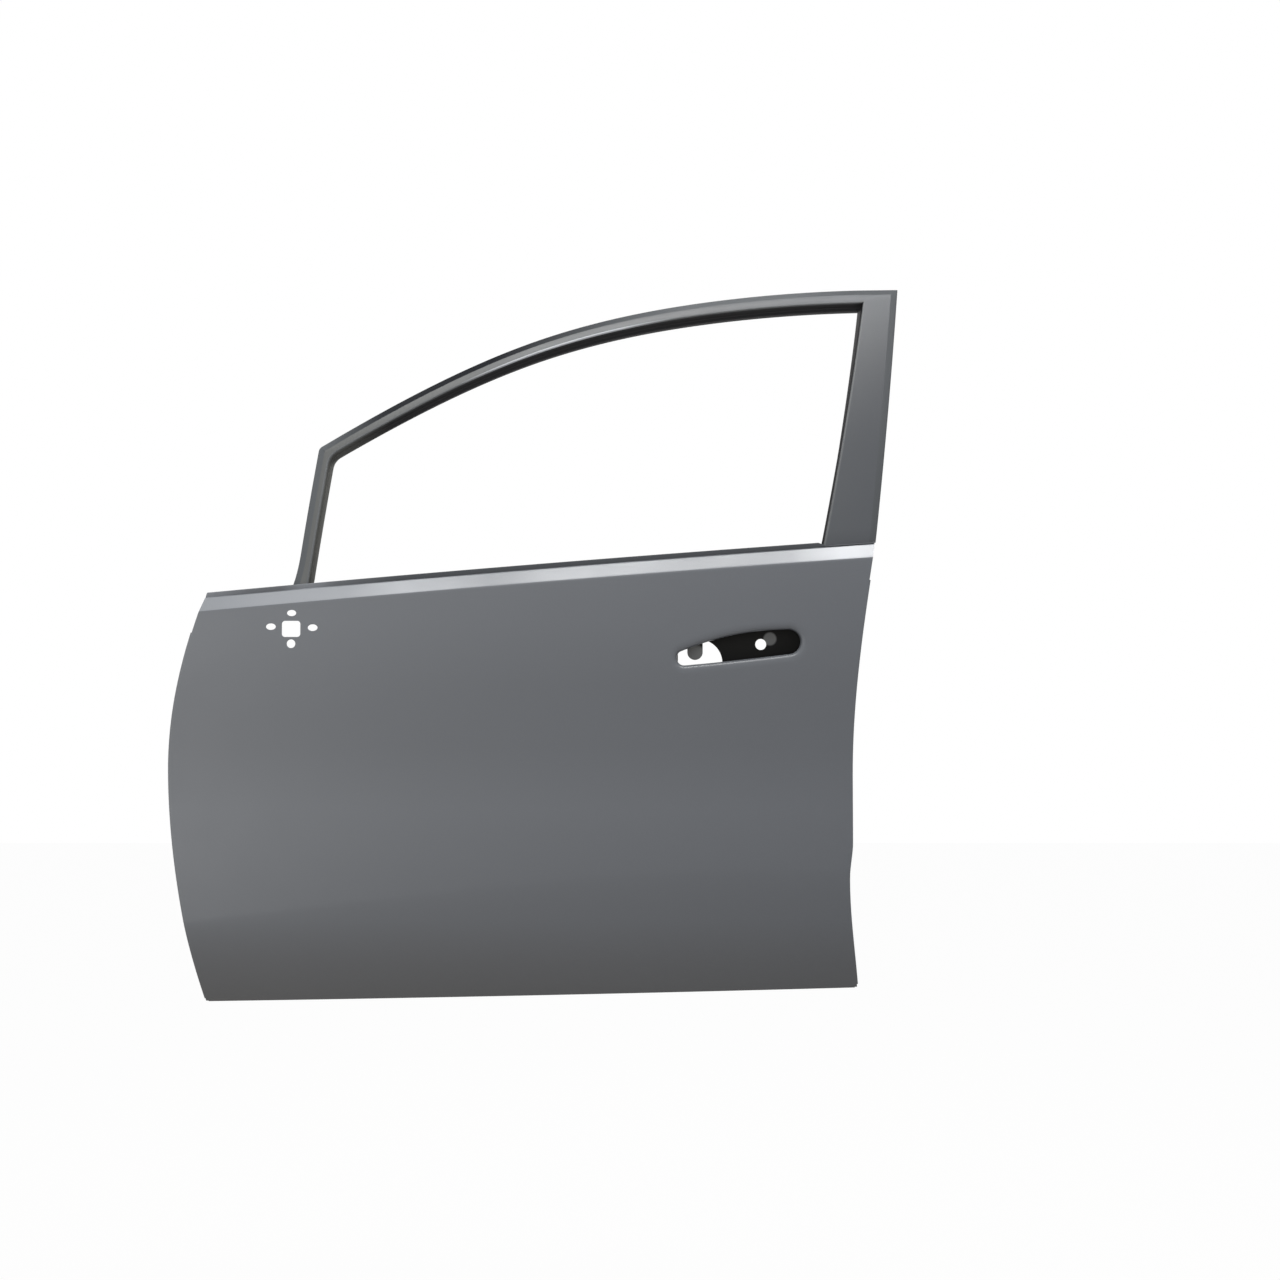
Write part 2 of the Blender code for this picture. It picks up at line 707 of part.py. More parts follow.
def outer_panel(material, collection):
    columns, rows = skin_stations()
    bm, verts = grid_sheet(skin_rows(columns, rows))
    spots = {vert: spot for spot, vert in verts.items()}
    first = len(FOLD_TURNS) + 1
    last = first + len(columns) - 1
    height = row_z(0, 1) - row_z(0, 0)
    hem_top = first + nearest(rows, 1 - HEM_TOP_DROP / height)
    notched = []
    for (i, j), face in cells_of(bm, spots).items():
        on_side = i < first or i >= last
        on_sill = j < first
        if on_side and (j <= first or j >= hem_top):
            notched.append(face)
        elif on_sill and (i <= first or i >= last - 1):
            notched.append(face)
    bmesh.ops.delete(bm, geom=notched, context="FACES")

    mirror, handle = patch_limits()
    middle = (handle[0] + handle[1]) / 2
    boxes = (
        (length_share(mirror[0], MIRROR_Z), length_share(mirror[1], MIRROR_Z),
         height_share(MIRROR_X, mirror[2]), 1),
        (length_share(handle[0], HANDLE_REAR[1]), length_share(handle[1], HANDLE_REAR[1]),
         height_share(middle, handle[2]), height_share(middle, handle[3])),
    )
    holes = (mirror_outlines(), [outset(handle_outline(), HANDLE_DIP[0][0])])
    for (u0, u1, w0, w1), outlines in zip(boxes, holes):
        i0, i1 = first + nearest(columns, u0), first + nearest(columns, u1)
        j0, j1 = first + nearest(rows, w0), first + nearest(rows, w1)
        faces = [f for (i, j), f in cells_of(bm, spots).items() if i0 <= i < i1 and j0 <= j < j1]
        edges = open_patch(bm, faces)
        rings = [first_ring(bm, [behind_skin(x, z) for x, z in line]) for line in outlines]
        fill_between(bm, edges + [e for ring in rings for e in ring_edges(ring)], (0, -1, 0))
    ring = rings[0]
    for offset, depth in HANDLE_DIP[1:]:
        line = outset(handle_outline(), offset)
        ring = next_ring(bm, ring, [behind_skin(x, z, depth) for x, z in line])
    face_towards(bm, Vector((0, -1, 0)))
    return sheet_object("outer_panel", bm, SKIN_T, material, collection)


# Window frame
def upright_x(z):
    return CORNER_X + UPRIGHT_SLOPE * (z - CORNER_Z)


def roof_z(x):
    return curve_at((*ROOF_LINE, (ROOF_END_X, ROOF_END_Z, 0)), x)


def post_outer_x(z):
    return ROOF_END_X + POST_SLOPE * (z - ROOF_END_Z)


def post_inner_x(z):
    """Front edge of the rear post's face, which widens downwards."""
    foot = crease_z(LENGTH) + BAND_H
    share = (ROOF_END_Z - z) / (ROOF_END_Z - foot)
    width = POST_W_TOP + (POST_W_BELT - POST_W_TOP) * max(share, 0) ** POST_FLARE
    return post_outer_x(z) - width


def side_offset(points, k, flat=False):
    """Mitred unit offset of an open path in the side view, to its right."""
    here = Vector(points[k])
    before = Vector(points[max(k - 1, 0)])
    after = Vector(points[min(k + 1, len(points) - 1)])
    a = (here - before).normalized() if k > 0 else (after - here).normalized()
    b = (after - here).normalized() if k < len(points) - 1 else a
    na, nb = Vector((a.y, -a.x)), Vector((b.y, -b.x))
    return (na + nb) / (1 + na.dot(nb))


def corner_arc(before, corner, after, radius, steps=3):
    """Points that round a corner between two neighbours."""
    corner = Vector(corner)
    start = corner + (Vector(before) - corner).normalized() * radius
    end = corner + (Vector(after) - corner).normalized() * radius
    return [tuple(start * (1 - t) ** 2 + corner * 2 * t * (1 - t) + end * t * t)
            for t in (k / steps for k in range(steps + 1))]


def frame_paths():
    """Outer line and inner face line of the frame, station by station from front foot to rear."""
    face_run = UPRIGHT_W * math.hypot(1, UPRIGHT_SLOPE)
    foot_z = crease_z(upright_x(CREASE_Z)) - UPRIGHT_DROP
    slope = ROOF_LINE[0][2]
    inner_corner_x = CORNER_X + face_run - UPRIGHT_SLOPE * HEADER_W
    for _ in range(6):
        drop = HEADER_W * math.hypot(1, slope)
        inner_corner_z = roof_z(inner_corner_x) - drop
        inner_corner_x = upright_x(inner_corner_z) + face_run
    corner_out, corner_in = (CORNER_X, CORNER_Z), (inner_corner_x, inner_corner_z)

    knee_z = crease_z(upright_x(CREASE_Z)) + FRAME_FOOT_H
    outer = [(upright_x(foot_z), foot_z)]
    inner = [(upright_x(foot_z) + face_run, foot_z)]
    for k in range(UPRIGHT_STEPS):
        zo = mix(knee_z, CORNER_Z - CORNER_R_OUT, k / UPRIGHT_STEPS)
        zi = mix(knee_z, inner_corner_z - CORNER_R_IN, k / UPRIGHT_STEPS)
        outer.append((upright_x(zo), zo))
        inner.append((upright_x(zi) + face_run, zi))

    header_out, header_in = [], []
    start = inner_corner_x + CORNER_R_IN
    end = post_inner_x(ROOF_END_Z) - POST_CORNER_RUN
    for k in range(HEADER_STEPS + 1):
        x = mix(start, end, k / HEADER_STEPS)
        z = roof_z(x)
        rise = (roof_z(x + 0.001) - roof_z(x - 0.001)) / 0.002
        down = Vector((rise, -1)).normalized() * HEADER_W
        header_out.append((x, z))
        header_in.append((x + down.x, z + down.y))
    end_in_z = ROOF_END_Z - HEADER_W
    end_out, end_in = (ROOF_END_X, ROOF_END_Z), (post_inner_x(end_in_z), end_in_z)

    foot_z = crease_z(LENGTH) - POST_DROP
    knee_z = crease_z(LENGTH) + FRAME_FOOT_H
    post_out, post_in = [], []
    for k in range(1, POST_STEPS + 1):
        zo, zi = mix(ROOF_END_Z, knee_z, k / POST_STEPS), mix(end_in_z, knee_z, k / POST_STEPS)
        post_out.append((post_outer_x(zo), zo))
        post_in.append((post_inner_x(zi), zi))
    post_out.append((post_outer_x(foot_z), foot_z))
    post_in.append((post_inner_x(foot_z), foot_z))
    outer += corner_arc(outer[-1], corner_out, header_out[0], CORNER_R_OUT) + header_out
    inner += corner_arc(inner[-1], corner_in, header_in[0], CORNER_R_IN) + header_in
    return outer + [end_out] + post_out, inner + [end_in] + post_in


def frame_section(name, section, material, collection, outer_side):
    """A window frame pressing: section points are offsets from the outer or the inner line."""
    outer, inner = frame_paths()
    post_from = len(outer) - POST_STEPS - 2
    rows = []
    for side, across, depth in section:
        line = []
        path = outer if side == "out" else inner
        for k, point in enumerate(path):
            lip = LIP_W if k < post_from else LIP_W_POST
            reach = lip if across is None else across
            spot = Vector(point) + side_offset(path, k) * reach
            normal = inward(spot.x, spot.y, frame_y)
            line.append(Vector((spot.x, frame_y(*spot), spot.y)) + normal * depth)
        rows.append(line)
    return ribbon(name, rows, FRAME_T, outer_side, material, collection)


def notch_post(frame, cutters):
    """Clears the rear post's rear edge from the outer panel below the window sill."""
    def lean(point):
        x = rear_x(point.z) - POST_NOTCH_IN if point.x < LENGTH else point.x
        z = point.z
        if z > crease_z(LENGTH) - POST_DROP:
            z = crease_z(x) + BAND_H + STRIP_H_REAR
        return Vector((x, point.y, z))

    low = (LENGTH - POST_NOTCH_IN, -0.2, crease_z(LENGTH) - 2 * POST_DROP)
    high = (LENGTH + 0.1, 0.2, crease_z(LENGTH) + BAND_H)
    cut(frame, block_cutter(frame.name + "_notch", low, high, cutters, lean))


def frame_outer(material, collection, cutters):
    section = (
        ("out", 0.0030, 0.0240),
        ("out", 0.0012, 0.0060),
        ("out", 0.0028, 0.0026),
        ("out", 0.0080, 0.0000),
        ("in", -0.0014, 0.0000),
        ("in", 0.0000, 0.0014),
        ("in", 0.0004, CHANNEL_DEPTH - 0.0012),
        ("in", 0.0016, CHANNEL_DEPTH),
        ("in", None, CHANNEL_DEPTH),
    )
    frame = frame_section("frame_outer", section, material, collection, (0, -1, 0))
    notch_post(frame, cutters)
    return frame


def frame_inner(material, collection, cutters):
    wall = 0.0012 + FRAME_T + SEAT + FRAME_T
    lip = CHANNEL_DEPTH + 2 * FRAME_T + SEAT
    section = (
        ("out", wall + 0.0005, 0.0100),
        ("out", wall + 0.0024, FRAME_DEPTH - 0.0045),
        ("out", wall + 0.0060, FRAME_DEPTH - 0.0008),
        ("in", -0.0050, FRAME_DEPTH),
        ("in", -0.0008, FRAME_DEPTH - 0.0030),
        ("in", 0.0020, lip + 0.0030),
        ("in", 0.0034, lip),
        ("in", None, lip),
    )
    frame = frame_section("frame_inner", section, material, collection, (0, 1, 0))
    notch_post(frame, cutters)
    return frame


# Inner panel
def skin_heights(x, rows):
    """Heights of the outer panel's grid lines at x, up to the top of the shoulder band."""
    top = crease_z(x)
    return [row_z(x, w) for w in rows] + [top + CREASE_R, top + BAND_H]


def rim_point(x, z, rows):
    """A point on the inner panel's rim, which lies on the outer panel's facets."""
    depth = SKIN_T + HEM_GAP + INNER_T
    heights = skin_heights(x, rows)
    k = max([k for k in range(len(heights) - 1) if heights[k] <= z], default=0)
    share = (z - heights[k]) / (heights[k + 1] - heights[k])
    low, high = behind_skin(x, heights[k], depth), behind_skin(x, heights[k + 1], depth)
    return Vector((x, mix(low.y, high.y, share), z))


def on_pad(z, centre, height):
    return abs(z - centre) <= height / 2 + 1e-6


def front_wall_x(z, inset):
    """The front wall, flat where hinges and check strap are bolted on."""
    for centre, height, place in ((0, HINGE_FACE[1], 0), (-HINGE_DROP, HINGE_FACE[1], 0),
                                  (STRAP_Z, STRAP_FACE[1], STRAP_X)):
        if on_pad(z, centre, height):
            return place
    return front_x(z) + inset


def latch_x():
    return rear_x(LATCH_Z) - LATCH_IN


def rear_wall_x(z, inset):
    return latch_x() if on_pad(z, LATCH_Z, LATCH_FACE[1]) else rear_x(z) - inset


def pad_heights(pads, between):
    heights = list(between)
    for centre, height in pads:
        for side in (-1, 1):
            heights += [centre + side * height / 2, centre + side * (height / 2 + PAD_DRAFT)]
    return sorted(heights)


def fitted(heights, low, high):
    """Squeezes the ends of a list of heights so that it lies between two limits."""
    first, last = heights[0], heights[-1]
    scale = (high - low) / (last - first)
    if low <= first and high >= last:
        return heights
    return [low + (z - first) * scale for z in heights]


def tray_ring(front, rear, sill, top, radius, wall=False):
    """Side view outline of the tray at these insets, and at a height over the crease."""
    front_line = front_wall_x if wall else (lambda z, inset: front_x(z) + inset)
    rear_line = rear_wall_x if wall else (lambda z, inset: rear_x(z) - inset)

    def corner(line, inset, level, height):
        z = level(LENGTH / 2) + height
        for _ in range(6):
            x = line(z, inset)
            z = level(x) + height
        return x, z

    low_front = corner(lambda z, i: front_x(z) + i, front, sill_z, sill)
    low_rear = corner(lambda z, i: rear_x(z) - i, rear, sill_z, sill)
    top_front = corner(lambda z, i: front_x(z) + i, front, crease_z, top)
    top_rear = corner(lambda z, i: rear_x(z) - i, rear, crease_z, top)
    front_heights = pad_heights(((0, HINGE_FACE[1]), (-HINGE_DROP, HINGE_FACE[1]),
                                 (STRAP_Z, STRAP_FACE[1])), FRONT_STATIONS)
    rear_heights = pad_heights(((LATCH_Z, LATCH_FACE[1]),),
                               REAR_STATIONS)
    gap = radius + 0.004
    front_heights = fitted(front_heights, low_front[1] + gap, top_front[1] - gap)
    rear_heights = fitted(rear_heights, low_rear[1] + gap, top_rear[1] - gap)
    sides = (
        [(x, sill_z(x) + sill) for x in
         (mix(low_front[0], low_rear[0], k / 8) for k in range(1, 8))],
        [(rear_line(z, rear), z) for z in rear_heights],
        [(x, crease_z(x) + top) for x in
         (mix(top_rear[0], top_front[0], k / 8) for k in range(1, 8))],
        [(front_line(z, front), z) for z in reversed(front_heights)],
    )
    corners = (low_rear, top_rear, top_front, low_front)
    ring = []
    for k, side in enumerate(sides):
        ring += side
        ring += corner_arc(side[-1], corners[k], sides[(k + 1) % 4][0], radius, 2)
    return ring


def inner_panel(material, collection, cutters):
    rows = skin_stations()[1]
    wall_end = WALL_IN + WALL_DRAFT
    front_end = WALL_IN + WALL_DRAFT_FRONT
    rim_in = RIM_CLEAR + RIM_W
    slim = PRESS_R / 2

    def at(depth, front, side, top, radius, wall=False):
        outline = tray_ring(front, side, side, top, radius, wall)
        return [Vector((x, depth, z)) for x, z in outline]

    def on_rim(inset, top, radius):
        outline = tray_ring(inset, inset, inset, top, radius)
        return [rim_point(x, z, rows) for x, z in outline]

    bm = bmesh.new()
    ring = first_ring(bm, on_rim(RIM_CLEAR, RIM_TOP_H, 0.006))
    ring = next_ring(bm, ring, on_rim(rim_in, RIM_TOP_H - RIM_W, 0.004))
    foot = tray_ring(WALL_IN, WALL_IN, WALL_IN, RIM_TOP_H - RIM_W - slim, 0.012, True)
    foot = [rim_point(x, z, rows) + Vector((0, PRESS_R, 0)) for x, z in foot]
    ring = next_ring(bm, ring, foot)
    steps = (
        (LAND_Y - PRESS_R, front_end, wall_end, WALL_TOP_H, 0.012, True),
        (LAND_Y, front_end + PRESS_R, wall_end + PRESS_R, WALL_TOP_H - PRESS_R, 0.014, False),
        (LAND_Y, front_end + LAND_W, wall_end + LAND_W, WALL_TOP_H - LAND_W_BELT, 0.034, False),
        (LAND_Y + PRESS_R, front_end + LAND_W + slim, wall_end + LAND_W + slim,
         WALL_TOP_H - LAND_W_BELT - slim, 0.034, False),
        (TRIM_Y - PRESS_R, front_end + LAND_W + TRIM_DRAFT - PRESS_R,
         wall_end + LAND_W + TRIM_DRAFT - PRESS_R,
         WALL_TOP_H - LAND_W_BELT - TRIM_DRAFT + PRESS_R, 0.034, False),
        (TRIM_Y, front_end + LAND_W + TRIM_DRAFT, wall_end + LAND_W + TRIM_DRAFT,
         WALL_TOP_H - LAND_W_BELT - TRIM_DRAFT, 0.034, False),
    )
    for step in steps:
        ring = next_ring(bm, ring, at(*step))
    edges = ring_edges(ring)

    def feature(stages):
        """A feature of the trim face from (outline, y) stages, the first on the face itself."""
        loops = [[Vector((x, y, z)) for x, z in outline] for outline, y in stages]
        line = first_ring(bm, loops[0])
        edges.extend(ring_edges(line))
        for loop in loops[1:]:
            line = next_ring(bm, line, loop)
        return line

    for x, z, width, height, radius in (FRONT_ACCESS, REAR_ACCESS, HANDLE_ACCESS, PULL_ACCESS):
        hole = rounded_box(x, z, width, height, radius)
        feature(((outset(hole, ACCESS_LIP / 3), TRIM_Y), (hole, TRIM_Y - ACCESS_LIP / 3),
                 (hole, TRIM_Y - ACCESS_LIP)))
    for x, z in CLIPS:
        feature(((ellipse(x, z, CLIP_D, CLIP_D, 8), TRIM_Y),))
    for x, z, width, height in BEADS:
        outline = rounded_box(x, z, width, height, 0.011)
        crown = feature(((outline, TRIM_Y), (outset(outline, -BEAD_RISE), TRIM_Y + BEAD_RISE)))
        fill_between(bm, ring_edges(crown), (0, 1, 0))
    x, z = SPEAKER
    seat = SPEAKER_D + 2 * SPEAKER_SEAT_W
    floor = TRIM_Y - SPEAKER_SEAT_IN
    feature(((ellipse(x, z, seat + 2 * PRESS_R, seat + 2 * PRESS_R, 32), TRIM_Y),
             (ellipse(x, z, seat, seat, 32), floor),
             (ellipse(x, z, SPEAKER_D, SPEAKER_D, 32), floor),
             (ellipse(x, z, SPEAKER_D, SPEAKER_D, 32), floor - ACCESS_LIP)))
    fill_between(bm, edges, (0, 1, 0))
    face_towards(bm, Vector((0, 1, 0)))
    panel = sheet_object("inner_panel", bm, INNER_T, material, collection)

    cut(panel, prism_cutter("mirror_access", rounded_box(0, 0, *MIRROR_ACCESS[2:]),
                            across_y(MIRROR_ACCESS[0], LAND_Y, MIRROR_ACCESS[1]), 0.020, cutters))
    for name, z in (("upper_hinge", 0), ("lower_hinge", -HINGE_DROP)):
        for k, side in enumerate((1, -1)):
            bolt = ellipse(0, 0, BOLT_D, BOLT_D, 12)
            place = across_x(0, 0, z + side * BOLT_PITCH / 2)
            cut(panel, prism_cutter(f"{name}_bolt_{k}", bolt, place, 0.012, cutters))
    strap = rounded_box(0, 0, 0.012, 0.026, 0.005)
    cut(panel, prism_cutter("strap_mouth", strap, across_x(STRAP_X, 0, STRAP_Z), 0.012, cutters))
    mouth = rounded_box(0, 0, *LATCH_MOUTH, 0.006)
    cut(panel, prism_cutter("latch_mouth", mouth, across_x(latch_x(), LATCH_Y, LATCH_Z), 0.012,
                            cutters))
    for k, (y, z) in enumerate(latch_screws()):
        screw = ellipse(0, 0, 0.007, 0.007, 8)
        place = across_x(latch_x(), LATCH_Y + y, LATCH_Z + z)
        cut(panel, prism_cutter(f"latch_screw_{k}", screw, place, 0.012, cutters))
    grommet = ellipse(0, 0, GROMMET_D, GROMMET_D, 12)
    place = across_x(front_x(GROMMET_Z) + WALL_IN + WALL_DRAFT_FRONT / 2, 0, GROMMET_Z)
    cut(panel, prism_cutter("grommet_hole", grommet, place, 0.030, cutters))
    for k, x in enumerate(DRAIN_X):
        drain = rounded_box(0, 0, *DRAIN, 0.0035)
        place = Matrix.Translation((x, 0, sill_z(x) + WALL_IN + WALL_DRAFT / 2))
        cut(panel, prism_cutter(f"drain_{k}", drain, place, 0.030, cutters))
    cut(panel, glass_slot(cutters))
    return panel


def latch_screws():
    """Places of the latch screws round its mouth: y and z from the latch centre."""
    reach = LATCH_MOUTH[1] / 2 + 0.014
    return ((0, reach), (-0.004, -reach), (0.010, -reach))


def glass_slot(cutters):
    def follow(point):
        x = rear_x(crease_z(LENGTH)) - SLOT_REAR_IN if point.x > LENGTH / 2 else point.x
        drop = 0.2 if point.z > 0 else -SLOT_DROP
        return Vector((x, point.y, crease_z(x) + drop))

    return block_cutter("glass_slot", (SLOT_X, -0.1, -1), (LENGTH, SLOT_Y, 1), cutters, follow)


# Stiffeners behind the outer panel and the inner panel
def lengths(limits, longest=0.085):
    return spread(list(limits), longest)


def behind_band(x, height, clear):
    """y of a sheet that lies this far clear of the outer panel's inner face."""
    point = behind_skin(x, crease_z(x) + height, SKIN_T + clear + BELT_T)
    return point.y


def outer_belt(material, collection):
    rows = []
    seat = FRAME_Y - SEAT
    section = ((0.017, None), (0.006, None), (0.001, seat - 0.0012), (-0.003, seat),
               (-0.036, seat), (-0.041, seat - 0.003), (-0.050, MASTIC), (-0.060, MASTIC))
    for height, y in section:
        line = []
        for x in lengths(OUTER_BELT_X):
            if y is None or y == MASTIC:
                depth = behind_band(x, height, SEAT if y is None else MASTIC)
            else:
                depth = bow(x) + y
            line.append(Vector((x, depth, crease_z(x) + height)))
        rows.append(line)
    return ribbon("outer_belt_reinforcement", rows, BELT_T, (0, 1, 0), material, collection)


def inner_belt(material, collection):
    flange = LAND_Y - INNER_T - SEAT
    section = ((-0.010, flange), (-0.021, flange), (-0.025, flange - BELT_HAT),
               (-0.060, flange - BELT_HAT), (-0.064, flange), (-0.073, flange))
    rows = [[Vector((x, y, crease_z(x) + height)) for x in lengths(INNER_BELT_X, 0.2)]
            for height, y in section]
    return ribbon("inner_belt_reinforcement", rows, BELT_T, (0, 1, 0), material, collection)


def panel_stiffener(material, collection):
    half = STIFFENER_H / 2
    section = ((half, 0), (half - 0.010, 0), (half - 0.015, STIFFENER_HAT),
               (0.015 - half, STIFFENER_HAT), (0.010 - half, 0), (-half, 0))
    rows = []
    for height, rise in section:
        z = STIFFENER_Z + height
        depth = SKIN_T + PLATE_GAP + BELT_T + rise
        rows.append([behind_skin(x, z, depth) for x in lengths(STIFFENER_X, 0.12)])
    return ribbon("outer_panel_stiffener", rows, BELT_T, (0, 1, 0), material, collection)


def beam_ends():
    (fx, fz), rz = BEAM_FRONT, BEAM_REAR_Z
    rx = rear_x(rz) - BEAM_REAR_IN
    clear = SKIN_T + BEAM_CLEAR + BEAM_R
    return (Vector((fx, skin_y(fx, fz) + clear, fz)), Vector((rx, skin_y(rx, rz) + clear, rz)))


def impact_beam(material, collection):
    front, rear = beam_ends()
    along = (rear - front).normalized()
    inboard = Vector((0, 1, 0))
    inboard = (inboard - along * inboard.dot(along)).normalized()
    up = along.cross(inboard)
    length = (rear - front).length
    stations = (0, BEAM_FLAT, BEAM_FLAT + BEAM_TAPER, length / 2,
                length - BEAM_FLAT - BEAM_TAPER, length - BEAM_FLAT, length)
    wide = BEAM_R * math.pi / 2 - BEAM_FLAT_H * (math.pi / 4 - 0.5)
    bm = bmesh.new()
    ring = None
    for k, station in enumerate(stations):
        flat = k in (0, 1, 5, 6)
        high = BEAM_FLAT_H / 2 if flat else BEAM_R
        across = wide - BEAM_R / 4 if flat else BEAM_R
        points = [front + along * station + inboard * (high * b) + up * (across * a)
                  for a, b in ellipse(0, 0, 2, 2, 12)]
        ring = next_ring(bm, ring, points) if ring else first_ring(bm, points)
    bmesh.ops.recalc_face_normals(bm, faces=bm.faces)
    side = bm.faces[:][0]
    centre = front + along * (side.calc_center_median() - front).dot(along)
    if side.normal.dot(side.calc_center_median() - centre) < 0:
        bmesh.ops.reverse_faces(bm, faces=bm.faces)
    return sheet_object("impact_beam", bm, BEAM_T, material, collection)


def wall_at(sign, y, z):
    """Inner face of the tray's front wall (sign 1) or rear wall (sign -1) at this y and z."""
    edge = front_x(z) if sign > 0 else rear_x(z)
    foot = behind_skin(edge, z, SKIN_T + HEM_GAP + INNER_T).y + PRESS_R
    draft = WALL_DRAFT_FRONT if sign > 0 else WALL_DRAFT
    inset = WALL_IN + draft * (y - foot) / (LAND_Y - PRESS_R - foot)
    return edge + sign * (inset + INNER_T)


def beam_bracket(name, end, other, sign, material, collection):
    """A bracket behind one end of the beam, with a foot turned along the wall."""
    slope = (other.y - end.y) / (other.x - end.x)
    half = BEAM_BRACKET_H / 2
    clear = BRACKET_CLEAR + PLATE_T
    rows = []
    for along, rise in ((clear, BRACKET_FOOT), (clear, PRESS_R), (clear + PRESS_R, 0),
                        (BRACKET_REACH, 0)):
        line = []
        for z in (end.z - half, end.z, end.z + half):
            foot = end.y + BEAM_FLAT_H / 2 + SEAT + PLATE_T
            x = wall_at(sign, foot + rise, z) + sign * along
            line.append(Vector((x, foot + rise + slope * (x - end.x), z)))
        rows.append(line)
    return ribbon(name, rows, PLATE_T, (sign, 1, 0), material, collection)


def wall_plate(name, x, y, z, size, holes, sign, material, collection):
    """A plate inside a wall of the tray that faces along x, with holes at (y, z)."""
    place = across_x(x + sign * (INNER_T + SEAT + PLATE_T / 2), y, z)
    outlines = [rounded_box(0, 0, *size, 0.006)]
    outlines += [[(a + dy, b + dz) for a, b in hole] for dy, dz, hole in holes]
    return flat_plate(name, outlines, PLATE_T, place, material, collection)


def hinge_plates(material, collection):
    size = (HINGE_FACE[0] - 0.004, HINGE_FACE[1] - 0.004)
    bolt = ellipse(0, 0, BOLT_D + 0.001, BOLT_D + 0.001, 12)
    nut_x = INNER_T + 2 * SEAT + PLATE_T + NUT_H / 2
    for name, z in (("upper_hinge", 0), ("lower_hinge", -HINGE_DROP)):
        holes = [(0, side * BOLT_PITCH / 2, bolt) for side in (1, -1)]
        wall_plate(f"{name}_reinforcement", 0, 0, z, size, holes, 1, material, collection)
        for k, side in enumerate((1, -1)):
            outlines = [ellipse(0, 0, NUT_D, NUT_D, 6), ellipse(0, 0, BOLT_D - 0.001, BOLT_D - 0.001, 12)]
            place = across_x(nut_x, 0, z + side * BOLT_PITCH / 2)
            flat_plate(f"{name}_nut_{k + 1}", outlines, NUT_H, place, material, collection)


def wall_fittings(material, collection):
    slot = rounded_box(0, 0, 0.014, 0.028, 0.005)
    size = (STRAP_FACE[0] - 0.004, STRAP_FACE[1] - 0.004)
    wall_plate("check_strap_reinforcement", STRAP_X, 0, STRAP_Z, size, [(0, 0, slot)], 1,
               material, collection)
    mouth = rounded_box(0, 0, LATCH_MOUTH[0] + 0.002, LATCH_MOUTH[1] + 0.002, 0.006)
    holes = [(0, 0, mouth)]
    holes += [(y, z, ellipse(0, 0, 0.008, 0.008, 8)) for y, z in latch_screws()]
    size = (LATCH_FACE[0] - 0.004, LATCH_FACE[1] - 0.006)
    wall_plate("latch_reinforcement", latch_x(), LATCH_Y, LATCH_Z, size, holes, -1,
               material, collection)


def mirror_plate(material, collection):
    """A plate behind the mirror holes that follows the outer panel."""
    depth = SKIN_T + PLATE_GAP + PLATE_T
    width, height = MIRROR_PLATE
    edge = rounded_box(MIRROR_X, MIRROR_Z - 0.004, width, height, 0.008)
    bm = bmesh.new()
    rings = [first_ring(bm, [behind_skin(x, z, depth) for x, z in line])
             for line in [edge] + mirror_outlines(0.003)]
    fill_between(bm, [e for ring in rings for e in ring_edges(ring)], (0, 1, 0))
    face_towards(bm, Vector((0, 1, 0)))
    return sheet_object("mirror_reinforcement", bm, PLATE_T, material, collection)


def handle_pan(material, collection):
    """The pressed pan behind the handle opening, with its two bores and the lug between them."""
    outline = handle_outline()

    def placed(line, depth):
        return [behind_skin(x, z, depth) for x, z in line]

    rim = SKIN_T + PLATE_GAP + POCKET_T
    dip = HANDLE_DIP[-1][1] + SEAT
    bm = bmesh.new()
    ring = first_ring(bm, placed(outset(outline, POCKET_RIM), rim))
    ring = next_ring(bm, ring, placed(outset(outline, POCKET_RIM_IN), rim))
    ring = next_ring(bm, ring, placed(outset(outline, POCKET_FLOOR_OUT + 0.003), dip + 0.010))
    ring = next_ring(bm, ring, placed(outset(outline, POCKET_FLOOR_OUT), POCKET_DEPTH))
    edges = ring_edges(ring)
    bore = bore_with_lug(*POCKET_BORE, POCKET_LUG[0], POCKET_LUG[1] / 2, POCKET_LUG[2])
    for line in (bore, ellipse(*POCKET_EYE[:2], 2 * POCKET_EYE[2], 2 * POCKET_EYE[2], 12)):
        hole = first_ring(bm, placed(line, POCKET_DEPTH))
        edges += ring_edges(hole)
    fill_between(bm, edges, (0, 1, 0))
    face_towards(bm, Vector((0, 1, 0)))
    return sheet_object("handle_reinforcement", bm, POCKET_T, material, collection)


def bore_with_lug(x, z, radius, lug_x, lug_half, lug_foot):
    """A bore with a lug left hanging into it from its upper edge, cut off by the pan's floor."""
    (fx, fz, fr), (rx, rz, rr) = HANDLE_FRONT, HANDLE_REAR
    right = math.degrees(math.acos((lug_x + lug_half - x) / radius))
    left = math.degrees(math.acos((lug_x - lug_half - x) / radius))
    line = []
    for px, pz in arc(x, z, radius, left, 360 + right, 20):
        low = mix(fz - fr, rz - rr, (px - fx) / (rx - fx)) - POCKET_FLOOR_OUT / 3
        line.append((px, max(pz, low)))
    return line + [(lug_x + lug_half, lug_foot), (lug_x - lug_half, lug_foot)]


